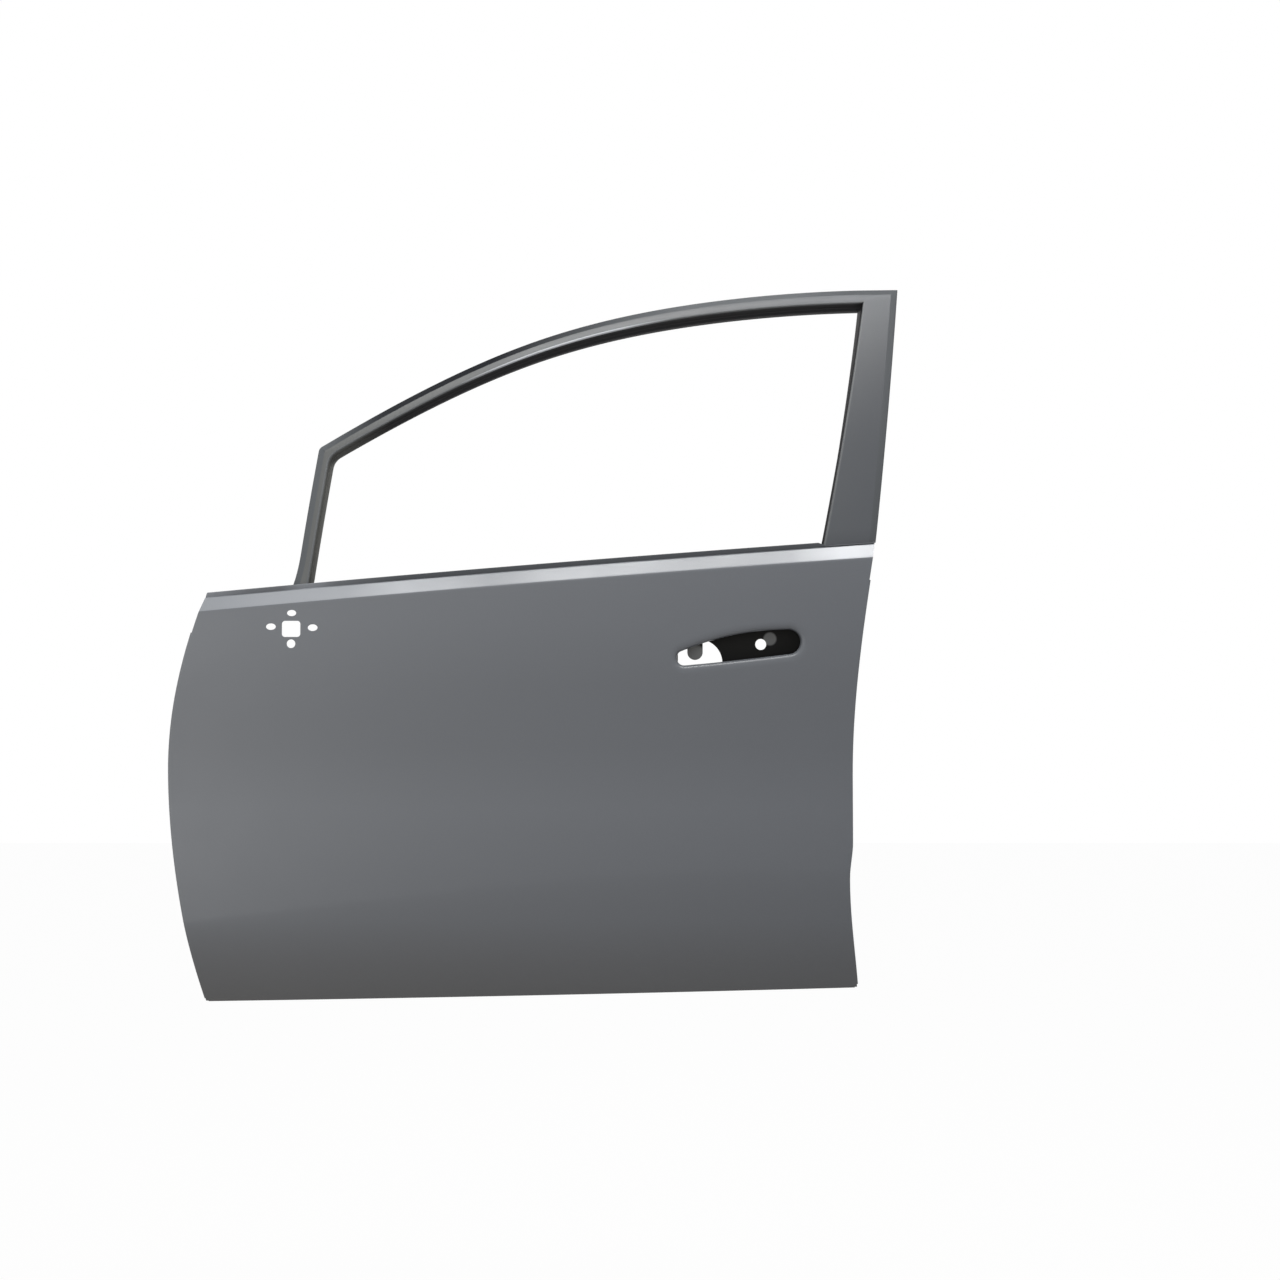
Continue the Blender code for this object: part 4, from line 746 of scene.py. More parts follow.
def sideOffset(points, k):
    here = Vector(points[k])
    last = len(points) - 1
    before = Vector(points[k - 1]) if k > 0 else 2 * here - Vector(points[1])
    after = Vector(points[k + 1]) if k < last else 2 * here - before
    return mitre(before, here, after)


def framePaths():
    faceRun = window["uprightW"] * math.hypot(1, window["uprightSlope"])
    wide, wideFront = window["headerW"], window["headerWFront"]
    cornerX, cornerZ, endX, endZ = (window[k] for k in ("cornerX", "cornerZ", "roofEndX", "roofEndZ"))
    innerX = cornerX + faceRun - window["uprightSlope"] * wideFront
    for _ in range(6):
        innerZ = roofZ(innerX) - wideFront * math.hypot(1, window["roofSlope"])
        innerX = uprightX(innerZ) + faceRun

    base = creaseZ(uprightX(door["creaseZ"]))
    footZ, kneeZ = base - window["uprightDrop"], base + window["frameFootH"]
    outer = [(uprightX(footZ) - window["flare"], footZ)]
    inner = [(uprightX(footZ) + faceRun, footZ)]
    for k in range(window["uprightSteps"]):
        share = k / window["uprightSteps"]
        zo = mix(kneeZ, cornerZ - window["cornerROut"], share)
        zi = mix(kneeZ, innerZ - window["cornerRIn"], share)
        flare = window["flare"] * max(0.0, 1 - (zo - kneeZ) / window["flareH"]) ** 2
        outer.append((uprightX(zo) - flare, zo))
        inner.append((uprightX(zi) + faceRun, zi))

    headerOut, headerIn = [], []
    start, end = innerX + window["cornerRIn"], postInnerX(endZ) - window["postCornerRun"]
    for k in range(window["headerSteps"] + 1):
        share = k / window["headerSteps"]
        x = mix(start, end, share)
        rise = (roofZ(x + 0.001) - roofZ(x - 0.001)) / 0.002
        down = Vector((rise, -1)).normalized() * mix(wideFront, wide, share)
        headerOut.append((x, roofZ(x)))
        headerIn.append((x + down.x, roofZ(x) + down.y))

    footZ, kneeZ = creaseZ(length) - window["postDrop"], creaseZ(length) + window["frameFootH"]
    postOut, postIn = [(endX, endZ)], [(postInnerX(endZ - wide), endZ - wide)]
    for k in range(1, window["postSteps"] + 1):
        zo, zi = (mix(z, kneeZ, k / window["postSteps"]) for z in (endZ, endZ - wide))
        postOut.append((postOuterX(zo), zo))
        postIn.append((postInnerX(zi), zi))
    postOut.append((postOuterX(footZ), footZ))
    postIn.append((postInnerX(footZ), footZ))
    outer += cornerArc(outer[-1], (cornerX, cornerZ), headerOut[0], window["cornerROut"]) + headerOut
    inner += cornerArc(inner[-1], (innerX, innerZ), headerIn[0], window["cornerRIn"]) + headerIn
    return outer + postOut, inner + postIn


# Each row of a section is the edge it follows, the distance outside that edge and the depth
def frameSection(name, section, materials, outerSide, paintRows, postShadePaint):
    outer, inner = framePaths()
    postFrom = len(outer) - window["postSteps"] - 2
    rows = []
    for side, across, depth in section:
        line = []
        path = outer if side == "out" else inner
        for k, point in enumerate(path):
            foot = max(k - postFrom, 0) / (window["postSteps"] + 1)
            lip = window["lipW"] if k < postFrom else mix(window["lipWPost"], window["lipWFoot"], foot)
            spot = Vector(point) + sideOffset(path, k) * (lip if across is None else across)
            normal = inward(spot.x, spot.y, frameY)
            line.append(Vector((spot.x, frameY(*spot), spot.y)) + normal * depth)
        rows.append(line)
    bm, spots = gridSheet(rows)
    for (column, row), face in cellsOf(bm, spots).items():
        # The post's columns get the given post paint index, for the outer sheet the shaded copy of the frame
        # paint
        face.material_index = paintRows.get(row, postShadePaint if column >= postFrom else 0)
    faceTowards(bm, outerSide)
    frame = sheetPiece(name, bm, window["wall"], materials, window["bevel"], window["bevelTurn"])
    cut(frame, postNotch(name + "_notch"))
    return finished(frame)


def postNotch(name):
    foot = creaseZ(length) - window["postDrop"]

    def lean(point):
        x = rearX(point.z) - window["postNotchIn"] if point.x < length else point.x
        return Vector((x, point.y, bandTopZ(x) + door["stripHRear"] if point.z > foot else point.z))

    low = (length - window["postNotchIn"], -0.2, foot - window["postDrop"])
    return blockCutter(name, low, (length + 0.1, 0.2, bandTopZ(length)), lean)


def frameOuter(materials):
    deep = window["channelDepth"]
    section = (
        ("out", 0.0030, 0.0240),
        ("out", 0.0012, 0.0060),
        ("out", 0.0028, 0.0026),
        ("out", 0.0125, 0.0000),
        ("in", -0.0028, 0.0000),
        ("in", -0.0008, 0.0006),
        ("in", 0.0000, 0.0026),
        ("in", 0.0004, deep - 0.0012),
        ("in", 0.0016, deep),
        ("in", None, deep),
    )
    # Rows 0-2 (the rolled outer edge) get the rim paint's painted shade, rows 4-5 (the bend into the channel)
    # the bend paint's painted highlight, rows 6-8 (the channel) the channel paint's painted shade; the post's
    # columns get the post paint's painted shade
    paintRows = {0: 2, 1: 2, 2: 2, 4: 3, 5: 3, 6: 1, 7: 1, 8: 1}
    return frameSection("frameOuterFine", section, materials, (0, -1, 0), paintRows, 4)


def frameInner(materials):
    wall = 2 * window["wall"] + skin["seat"] + 0.0012
    lip = window["channelDepth"] + 2 * window["wall"] + skin["seat"]
    deep = window["frameDepth"]
    section = (
        ("out", wall + 0.0005, 0.0100),
        ("out", wall + 0.0024, deep - 0.0045),
        ("out", wall + 0.0060, deep - 0.0008),
        ("in", -0.0050, deep),
        ("in", -0.0008, deep - 0.0030),
        ("in", 0.0020, lip + 0.0030),
        ("in", 0.0034, lip),
        ("in", None, lip),
    )
    # The inner sheet's channel rows get the channel paint's painted shade
    return frameSection("frameInnerFine", section, materials, (0, 1, 0), {4: 1, 5: 1, 6: 1}, 0)


# Inner panel: rim, wall, land and a raised field with its openings
tray = {
    "landY": 0.040,
    "trimY": 0.062,
    "rimClear": 0.0028,
    "rimW": 0.0125,
    "wallIn": 0.0165,
    "wallDraftFront": 0.0095,
    "wallDraft": 0.0055,
    "pressR": 0.004,
    "foldTurns": (0.35, 0.7, 1.07),
    "landW": 0.022,
    "landWBelt": 0.085,
    "trimDraft": 0.012,
    "rimTopH": 0.019,
    "wallTopH": 0.010,
    "rimR": 0.006,
    "rimInnerR": 0.004,
    "wallR": 0.012,
    "landR": 0.014,
    "fieldR": 0.034,
    "frontStations": (-0.475, -0.455, -0.430, -0.400, -0.255, -0.088, 0.070, 0.100),
    "rearStations": (-0.452, -0.430, -0.405, -0.380, -0.350, -0.325, -0.305, -0.280, -0.254,
                     -0.200, -0.150, -0.055, 0.045, 0.080, 0.115, 0.150, 0.185),
    "stationStep": 0.012,
    "sideSteps": 90,
    "cornerClear": 0.004,
    "hingeDrop": 0.340,
    "hingeH": 0.070,
    "strapZ": -0.170,
    "strapX": -0.012,
    "strapH": 0.060,
    "strapMouth": (0.012, 0.026, 0.005),
    "latchZ": -0.055,
    "latchY": 0.004,
    "latchIn": 0.0205,
    "latchH": 0.110,
    "latchMouth": (0.022, 0.042, 0.006),
    "latchScrewD": 0.007,
    "latchScrewRun": 0.014,
    "padDraft": 0.006,
    "boltD": 0.0110,
    "boltPitch": 0.044,
    "sheetBore": 0.012,
    "deepBore": 0.030,
    "mirrorAt": (0.150, 0.091),
    "mirrorAccess": (0.110, 0.066, 0.020),
    "mirrorBore": 0.020,
    "frontAccess": (0.4242 * length, -0.235, 0.2347 * length, 0.320, 0.050),
    "rearAccess": (0.6859 * length, -0.270, 0.1625 * length, 0.250, 0.045),
    "handleAccess": (0.7870 * length, 0.040, 0.1516 * length, 0.092, 0.030),
    "pullAccess": (0.5054 * length, 0.020, 0.1083 * length, 0.050, 0.020),
    "accessLip": 0.006,
    "speaker": (0.1850 * length, -0.320),
    "speakerD": 0.156,
    "speakerSeatW": 0.014,
    "speakerSeatIn": 0.008,
    "clips": (
        (0.062, -0.180),
        (0.082, -0.415),
        (0.3023 * length, -0.425),
        (0.5776 * length, -0.425),
        (0.8394 * length, -0.415),
        (0.8890 * length, -0.250),
        (0.8890 * length, -0.020),
        (0.2708 * length, 0.000),
    ),
    "clipD": 0.008,
    "beads": (
        (0.5614 * length, -0.250, 0.022, 0.250),
        (0.1850 * length, -0.150, 0.1354 * length, 0.022),
        (0.8258 * length, -0.270, 0.022, 0.200),
    ),
    "beadR": 0.0109,
    "beadRise": 0.004,
    "drainX": (0.1354 * length, 0.5054 * length, 0.8664 * length),
    "drain": (0.024, 0.008, 0.0035),
    "grommetZ": -0.250,
    "grommetD": 0.026,
    "slotX": 0.150,
    "slotY": 0.022,
    "slotDrop": 0.030,
    "slotRearIn": 0.026,
}


# Point on the back of the outer panel's flat facets, where the rim of the tray lies
def rimPoint(x, z, rows):
    depth = skin["wall"] + skin["hemGap"] + skin["innerWall"]
    heights = [rowZ(x, w) for w in rows] + [creaseZ(x) + door["creaseR"], bandTopZ(x)]
    k = max([k for k in range(len(heights) - 1) if heights[k] <= z], default=0)
    share = (z - heights[k]) / (heights[k + 1] - heights[k])
    low, high = (behindSkin(x, height, depth) for height in heights[k:k + 2])
    return Vector((x, mix(low.y, high.y, share), z))


def frontPads():
    hinge = tray["hingeH"]
    return (0, hinge, 0), (-tray["hingeDrop"], hinge, 0), (tray["strapZ"], tray["strapH"], tray["strapX"])


def latchX():
    return rearX(tray["latchZ"]) - tray["latchIn"]


def rearPads():
    return ((tray["latchZ"], tray["latchH"], latchX()),)


def frontLine(z, inset):
    return frontX(z) + inset


def rearLine(z, inset):
    return rearX(z) - inset


# Wall of the tray, with flat faces for hinges, strap and latch
def wallLine(line, pads):
    def place(z, inset):
        for centre, height, x in pads:
            if abs(z - centre) <= height / 2 + 1e-6:
                return x
        return line(z, inset)

    return place


def sideHeights(pads, between, low, high):
    heights = list(between)
    for centre, height, _ in pads:
        for side in (-1, 1):
            heights += [centre + side * height / 2, centre + side * (height / 2 + tray["padDraft"])]
    heights = spread(sorted(heights), tray["stationStep"])
    first, last = heights[0], heights[-1]
    if low <= first and high >= last:
        return heights
    return [low + (z - first) * (high - low) / (last - first) for z in heights]


def trayRing(front, rear, top, radius, wall=False):
    def corner(line, inset, level, height):
        z = level(length / 2) + height
        for _ in range(6):
            x = line(z, inset)
            z = level(x) + height
        return x, z

    lowFront, lowRear = corner(frontLine, front, sillZ, rear), corner(rearLine, rear, sillZ, rear)
    topFront, topRear = corner(frontLine, front, creaseZ, top), corner(rearLine, rear, creaseZ, top)
    gap, steps = radius + tray["cornerClear"], tray["sideSteps"]
    frontHeights = sideHeights(frontPads(), tray["frontStations"], lowFront[1] + gap, topFront[1] - gap)
    rearHeights = sideHeights(rearPads(), tray["rearStations"], lowRear[1] + gap, topRear[1] - gap)
    frontSide, rearSide = frontLine, rearLine
    if wall:
        frontSide, rearSide = wallLine(frontLine, frontPads()), wallLine(rearLine, rearPads())
    lowXs = [mix(lowFront[0] + gap, lowRear[0] - gap, k / steps) for k in range(steps + 1)]
    topXs = [mix(topRear[0] - gap, topFront[0] + gap, k / steps) for k in range(steps + 1)]
    sides = (
        [(x, sillZ(x) + rear) for x in lowXs],
        [(rearSide(z, rear), z) for z in rearHeights],
        [(x, creaseZ(x) + top) for x in topXs],
        [(frontSide(z, front), z) for z in reversed(frontHeights)],
    )
    ring = []
    for k, corner in enumerate((lowRear, topRear, topFront, lowFront)):
        ring += sides[k] + cornerArc(sides[k][-1], corner, sides[(k + 1) % 4][0], radius, 6)
    return ring


def innerPanel(material):
    rows = skinStations()[1]
    press, land, trim, lip = (tray[k] for k in ("pressR", "landY", "trimY", "accessLip"))
    frontEnd, wallEnd = tray["wallIn"] + tray["wallDraftFront"], tray["wallIn"] + tray["wallDraft"]
    rimTop = tray["rimTopH"] - tray["rimW"]

    def level(outline, y):
        return [Vector((x, y, z)) for x, z in outline]

    def onRim(front, top, radius, rise=0, wall=False):
        outline = trayRing(front, front, top, radius, wall)
        return [rimPoint(x, z, rows) + Vector((0, rise, 0)) for x, z in outline]

    bm = bmesh.new()
    ring = firstRing(bm, onRim(tray["rimClear"], tray["rimTopH"], tray["rimR"]))
    ring = nextRing(bm, ring, onRim(tray["rimClear"] + tray["rimW"], rimTop, tray["rimInnerR"]))
    ring = nextRing(bm, ring, onRim(tray["wallIn"], rimTop - press / 2, tray["wallR"], press, True))
    wall = trayRing(frontEnd, wallEnd, tray["wallTopH"], tray["wallR"], True)
    ring = nextRing(bm, ring, level(wall, land - press))
    edge = trayRing(frontEnd + press, wallEnd + press, tray["wallTopH"] - press, tray["landR"])
    belt = ringEdges(nextRing(bm, ring, level(edge, land)))

    field = trayRing(frontEnd + tray["landW"], wallEnd + tray["landW"],
                     tray["wallTopH"] - tray["landWBelt"], tray["fieldR"])
    folds = [(0, 0)] + [(press * math.sin(a), press * (1 - math.cos(a))) for a in tray["foldTurns"]]
    folds += [(tray["trimDraft"] - into, trim - land - up) for into, up in reversed(folds)]
    ring = firstRing(bm, level(field, land))
    fillBetween(bm, belt + ringEdges(ring), (0, 1, 0))
    for into, up in folds[1:]:
        ring = nextRing(bm, ring, level(outset(field, -into), land + up))
    edges = ringEdges(ring)

    def feature(*stages):
        line = firstRing(bm, level(*stages[0]))
        edges.extend(ringEdges(line))
        for stage in stages[1:]:
            line = nextRing(bm, line, level(*stage))
        return line

    for name in ("frontAccess", "rearAccess", "handleAccess", "pullAccess"):
        hole = roundedBox(*tray[name], 8)
        feature((outset(hole, lip / 3), trim), (hole, trim - lip / 3), (hole, trim - lip))
    for x, z in tray["clips"]:
        feature((disc(x, z, tray["clipD"], 20), trim))
    for bead in tray["beads"]:
        outline, rise = roundedBox(*bead, tray["beadR"], 7), tray["beadRise"]
        crown = feature((outline, trim), (outset(outline, -rise), trim + rise))
        fillBetween(bm, ringEdges(crown), (0, 1, 0))
    mouth = tray["speakerD"]
    seat = mouth + 2 * tray["speakerSeatW"]
    seatY = trim - tray["speakerSeatIn"]
    feature(*((disc(*tray["speaker"], across, 72), y) for across, y in
              ((seat + 2 * press, trim), (seat, seatY), (mouth, seatY), (mouth, seatY - lip))))
    fillBetween(bm, edges, (0, 1, 0))
    faceTowards(bm, (0, 1, 0))
    panel = sheetPiece("innerPanelFine", bm, skin["innerWall"], (material,), even=False)

    def bore(name, outline, place, depth=tray["sheetBore"]):
        cut(panel, prismCutter(name, outline, place, depth))

    x, z = tray["mirrorAt"]
    bore("mirror_access", roundedBox(0, 0, *tray["mirrorAccess"], 8), acrossY(x, land, z), tray["mirrorBore"])
    for name, z in (("upper_hinge", 0), ("lower_hinge", -tray["hingeDrop"])):
        for k, side in enumerate((1, -1)):
            place = acrossX(0, 0, z + side * tray["boltPitch"] / 2)
            bore(f"{name}_bolt_{k}", disc(0, 0, tray["boltD"], 28), place)
    strap = roundedBox(0, 0, *tray["strapMouth"], 6)
    bore("strap_mouth", strap, acrossX(tray["strapX"], 0, tray["strapZ"]))
    y, z = tray["latchY"], tray["latchZ"]
    bore("latch_mouth", roundedBox(0, 0, *tray["latchMouth"], 6), acrossX(latchX(), y, z))
    reach = tray["latchMouth"][1] / 2 + tray["latchScrewRun"]
    for k, (run, rise) in enumerate(((0, reach), (-0.004, -reach), (0.010, -reach))):
        screw = disc(0, 0, tray["latchScrewD"], 20)
        bore(f"latch_screw_{k}", screw, acrossX(latchX(), y + run, z + rise))
    place = acrossX(frontX(tray["grommetZ"]) + (tray["wallIn"] + frontEnd) / 2, 0, tray["grommetZ"])
    bore("grommet_hole", disc(0, 0, tray["grommetD"], 28), place, tray["deepBore"])
    for k, x in enumerate(tray["drainX"]):
        place = Matrix.Translation((x, 0, sillZ(x) + (tray["wallIn"] + wallEnd) / 2))
        bore(f"drain_{k}", roundedBox(0, 0, *tray["drain"], 6), place, tray["deepBore"])
    cut(panel, glassSlot())
    return finished(panel)


def glassSlot():
    def follow(point):
        x = rearX(creaseZ(length)) - tray["slotRearIn"] if point.x > length / 2 else point.x
        drop = 0.2 if point.z > 0 else -tray["slotDrop"]
        return Vector((x, point.y, creaseZ(x) + drop))

    return blockCutter("glass_slot", (tray["slotX"], -0.1, -1), (length, tray["slotY"], 1), follow)


# Pan behind the handle opening, with its bore, its lug and a small eye
pan = {
    "rim": 0.030,
    "rimIn": 0.018,
    "gap": 0.0008,
    "floorOut": 0.009,
    "wallOut": 0.003,
    "wallDrop": 0.010,
    "depth": 0.034,
    "wall": 0.0012,
    "bore": (0.7414 * length, 0.0345, 0.0375),
    "eye": (0.8317 * length, 0.0642, 0.0180),
    "lugX": 0.7351 * length,
    "lugW": 0.0250,
    "lugFoot": 0.0390,
}


def boreWithLug():
    x, z, radius = pan["bore"]
    (fx, fz, fr), (rx, rz, rr) = skin["handleFront"], skin["handleRear"]
    half = pan["lugW"] / 2
    left, right = (math.degrees(math.acos((pan["lugX"] + side - x) / radius)) for side in (-half, half))
    line = []
    for px, pz in arc(x, z, radius, left, 360 + right, 64):
        low = mix(fz - fr, rz - rr, (px - fx) / (rx - fx)) - pan["floorOut"] / 3
        line.append((px, max(pz, low)))
    return line + arc(pan["lugX"], pan["lugFoot"] + half, half, 0, -180, 20)


def handlePan(material):
    def placed(line, depth):
        return [behindSkin(x, z, depth) for x, z in line]

    rim = skin["wall"] + pan["gap"] + pan["wall"]
    dip = skin["handleDip"][-1][1] + skin["seat"] + pan["wallDrop"]
    stages = ((pan["rim"], rim), (pan["rimIn"], rim), (pan["floorOut"] + pan["wallOut"], dip),
              (pan["floorOut"], pan["depth"]))
    rings = [placed(outset(handleOutline(), out), depth) for out, depth in stages]
    bm = bmesh.new()
    ring = firstRing(bm, rings[0])
    for line in rings[1:]:
        ring = nextRing(bm, ring, line)
    edges = ringEdges(ring)
    for line in (boreWithLug(), disc(*pan["eye"], 32)):
        edges += ringEdges(firstRing(bm, placed(line, pan["depth"])))
    fillBetween(bm, edges, (0, 1, 0))
    faceTowards(bm, (0, 1, 0))
    return finished(sheetPiece("handlePanFine", bm, pan["wall"], (material,), even=False))


# Paints: front and rear colour, tones by height, and a second colour along the length. The tones by height
# and the frame's darker rear colour are painted shade and painted reflection; the second colour along the
# length is a painted highlight on the shoulder, the header's bend and the strip's front end, and painted
# shade in the rest of the strip, the rim and the channel.
paints = {
    # The primer's tones by height are painted shade and painted reflection: darker and browner towards the
    # sill, lighter and darker bands up the flank
    "primerPaint": {
        "front": (0.152, 0.160, 0.171), "rear": (0.116, 0.124, 0.137), "rough": 0.36, "peel": 0.10,
        "heights": (
            (-0.53, (0.56, 0.53, 0.49)), (-0.45, (0.72, 0.70, 0.68)), (-0.38, 0.88), (-0.30, 0.93),
            (-0.20, 1.0), (-0.10, 0.91), (0.00, 0.93), (0.10, 1.0),
        ),
    },
    # The frame paint's darker rear colour and its tones by height are painted shade
    "framePaint": {
        "front": (0.142, 0.145, 0.138), "rear": (0.078, 0.084, 0.094), "rough": 0.42, "gloss": 0.4,
        "heights": (
            (0.10, 1.0), (0.20, 0.86), (0.37, 0.85), (0.44, 0.96), (0.50, 0.92), (0.56, 1.0), (0.62, 1.0),
        ),
    },
    # The post paint is a shaded copy of the frame paint: its rear colour and its darker middle by height are
    # painted shade
    "postShadePaint": {
        "front": (0.142, 0.145, 0.138), "rear": (0.078, 0.084, 0.094), "rough": 0.42, "gloss": 0.4,
        "heights": ((0.10, 1.0), (0.30, 0.92), (0.53, 0.78), (0.60, 0.82), (0.66, 1.0)),
    },
    # The shoulder band's lighter colour and its lighter spots along the length are a painted highlight,
    # brightest at the rear end
    "shoulderHighlightPaint": {
        "front": (0.198, 0.210, 0.226), "second": (0.500, 0.515, 0.540), "rough": 0.33,
        "lengths": (
            (0.04, 0.24), (0.12, 0.33), (0.25, 0.31), (0.34, 0.55), (0.48, 0.03), (0.64, 0.36),
            (0.82, 0.02), (0.97, 0.22), (1.05, 0.98), (1.08, 1.0), (1.12, 0.80),
        ),
    },
    # The strip above the shoulder band is painted: a painted highlight at the front end and painted shade
    # from about a third of the way back
    "stripLightAndShadePaint": {
        "front": (0.260, 0.272, 0.290), "second": (0.072, 0.077, 0.084), "rough": 0.46, "gloss": 0.3,
        "lengths": (
            (0.02, 0.10), (0.09, 0.60), (0.14, 0.65), (0.172, 0.15), (0.20, 0.15), (0.23, 0.62), (0.33, 1.0),
        ),
    },
    # The window channel gets painted shade, dark from the top of the upright through the header and post
    "channelShadePaint": {
        "front": (0.100, 0.100, 0.094), "second": (0.025, 0.025, 0.026), "rough": 0.58, "gloss": 0.25,
        "lengths": ((0.235, 0.0), (0.31, 1.0)),
    },
    # The rolled outer edge of the header gets painted shade, darkest over the front part of the header
    "rimShadePaint": {
        "front": (0.118, 0.125, 0.131), "second": (0.008, 0.009, 0.012), "rough": 0.60, "gloss": 0.1,
        "lengths": (
            (0.20, 0.0), (0.30, 0.9), (0.48, 1.0), (0.62, 0.6), (0.80, 0.0), (1.00, 0.0), (1.08, 0.25),
            (1.14, 0.20),
        ),
    },
    # The bend at the lower edge of the header's face gets a painted highlight over the middle of the header
    "bendHighlightPaint": {
        "front": (0.130, 0.136, 0.140), "second": (0.52, 0.54, 0.57), "rough": 0.46, "gloss": 0.3,
        "lengths": ((0.42, 0.0), (0.50, 0.8), (0.60, 1.0), (0.69, 0.8), (0.78, 0.0)),
    },
    "dipPaint": {"front": (0.058, 0.061, 0.064), "rear": (0.052, 0.055, 0.060), "rough": 0.48, "peel": 0.12},
    # The pan's near-black colour is painted shade for the recess behind the handle opening
    "panLightAndShadePaint": {"front": (0.026, 0.0255, 0.024), "rough": 0.75, "peel": 0.06, "gloss": 0.08},
    "masticPaint": {
        "front": (0.030, 0.028, 0.026), "rear": (0.024, 0.024, 0.024), "rough": 0.78, "peel": 0.30,
    },
}
# The pan's lug and a spot beside its eye are painted lighter: painted highlights where light falls on them
paints["panLightAndShadePaint"]["patches"] = (
    (behindSkin(pan["lugX"], pan["lugFoot"] + 0.006, pan["depth"]), 0.021, (0.36, 0.36, 0.35)),
    (behindSkin(pan["eye"][0] + 0.015, pan["eye"][1] + 0.009, pan["depth"]), 0.012, (0.26, 0.26, 0.255)),
)
grain = {
    "peel": 0.08,
    "gloss": 0.5,
    "span": (0.0, 1.1),
    "lengthSpan": (0.0, 1.2),
    "heightSpan": (-0.6, 0.7),
    "cloudScale": 2.2,
    "cloudShare": 0.10,
    "cloudTone": 0.82,
    "dustScale": 640.0,
    "dustShare": 0.08,
    "dustTone": 1.7,
    "sheenScale": 9.0,
    "peelScale": 420.0,
    "peelDepth": 0.0002,
}


def noiseOf(tree, coords, scale, detail=2.0):
    noise = tree.nodes.new("ShaderNodeTexNoise")
    noise.inputs["Scale"].default_value = scale
    noise.inputs["Detail"].default_value = detail
    noise.inputs["Roughness"].default_value = 0.5
    tree.links.new(coords, noise.inputs["Vector"])
    return noise.outputs["Fac"]


def axisOf(tree, place, axis):
    split = tree.nodes.new("ShaderNodeSeparateXYZ")
    tree.links.new(place, split.inputs["Vector"])
    return split.outputs[axis]


def rangeOf(tree, value, low, high, start=0.3, end=0.7):
    ranged = tree.nodes.new("ShaderNodeMapRange")
    for socket, number in (("From Min", start), ("From Max", end), ("To Min", low), ("To Max", high)):
        ranged.inputs[socket].default_value = number
    tree.links.new(value, ranged.inputs["Value"])
    return ranged.outputs["Result"]


def blendOf(tree, factor, first, second, way="MIX"):
    both = tree.nodes.new("ShaderNodeMix")
    both.data_type = "RGBA"
    both.blend_type = way
    for value, name in ((factor, "Factor"), (first, "A"), (second, "B")):
        socket = both.inputs[name]
        if isinstance(value, (float, tuple)):
            socket.default_value = value if isinstance(value, float) else (*value, 1)
        else:
            tree.links.new(value, socket)
    return both.outputs["Result"]


def rampOf(tree, value, stops, low, high):
    ramp = tree.nodes.new("ShaderNodeValToRGB")
    line = ramp.color_ramp
    marks = [((spot - low) / (high - low), share if isinstance(share, tuple) else (share, share, share))
             for spot, share in stops]
    for element, (spot, colour) in zip(line.elements, (marks[0], marks[-1])):
        element.position = spot
        element.color = (*colour, 1)
    for spot, colour in marks[1:-1]:
        line.elements.new(spot).color = (*colour, 1)
    tree.links.new(rangeOf(tree, value, 0.0, 1.0, low, high), ramp.inputs["Fac"])
    return ramp.outputs["Color"]


def paint(name):
    look = {**grain, **paints[name]}
    front, rear = look["front"], look.get("rear", look["front"])
    material = bpy.data.materials.new(name)
    material.use_nodes = True
    tree = material.node_tree
    shader = tree.nodes["Principled BSDF"]
    shader.inputs["Specular IOR Level"].default_value = look["gloss"]
    place = tree.nodes.new("ShaderNodeTexCoord").outputs["Object"]
    along, up = axisOf(tree, place, "X"), axisOf(tree, place, "Z")

    tone = blendOf(tree, rangeOf(tree, along, 0.0, 1.0, *look["span"]), front, rear)
    cloud = rangeOf(tree, noiseOf(tree, place, look["cloudScale"]), 0.0, look["cloudShare"])
    tone = blendOf(tree, cloud, tone, tuple(look["cloudTone"] * c for c in front))
    dust = rangeOf(tree, noiseOf(tree, place, look["dustScale"]), 0.0, look["dustShare"], 0.45, 0.75)
    tone = blendOf(tree, dust, tone, tuple(min(1.0, look["dustTone"] * c) for c in rear))
    # Tones by height: painted shade and painted reflection multiplied into the colour
    if "heights" in look:
        tone = blendOf(tree, 1.0, tone, rampOf(tree, up, look["heights"], *look["heightSpan"]), "MULTIPLY")
    # Second colour along the length: painted highlight and painted shade blended in
    if "lengths" in look:
        tone = blendOf(tree, rampOf(tree, along, look["lengths"], *look["lengthSpan"]), tone, look["second"])
    # Painted highlights: lighter spots blended in around given points
    for spot, reach, colour in look.get("patches", ()):
        apart = tree.nodes.new("ShaderNodeVectorMath")
        apart.operation = "DISTANCE"
        tree.links.new(place, apart.inputs[0])
        apart.inputs[1].default_value = spot
        near = rangeOf(tree, apart.outputs["Value"], 1.0, 0.0, reach * 0.75, reach)
        tone = blendOf(tree, near, tone, colour)
    tree.links.new(tone, shader.inputs["Base Color"])

    sheen = noiseOf(tree, place, look["sheenScale"], 4.0)
    sheen = rangeOf(tree, sheen, look["rough"] - 0.03, look["rough"] + 0.04)
    tree.links.new(sheen, shader.inputs["Roughness"])
    peel = tree.nodes.new("ShaderNodeBump")
    peel.inputs["Strength"].default_value = look["peel"]
    peel.inputs["Distance"].default_value = look["peelDepth"]
    tree.links.new(noiseOf(tree, place, look["peelScale"]), peel.inputs["Height"])
    tree.links.new(peel.outputs["Normal"], shader.inputs["Normal"])
    return material


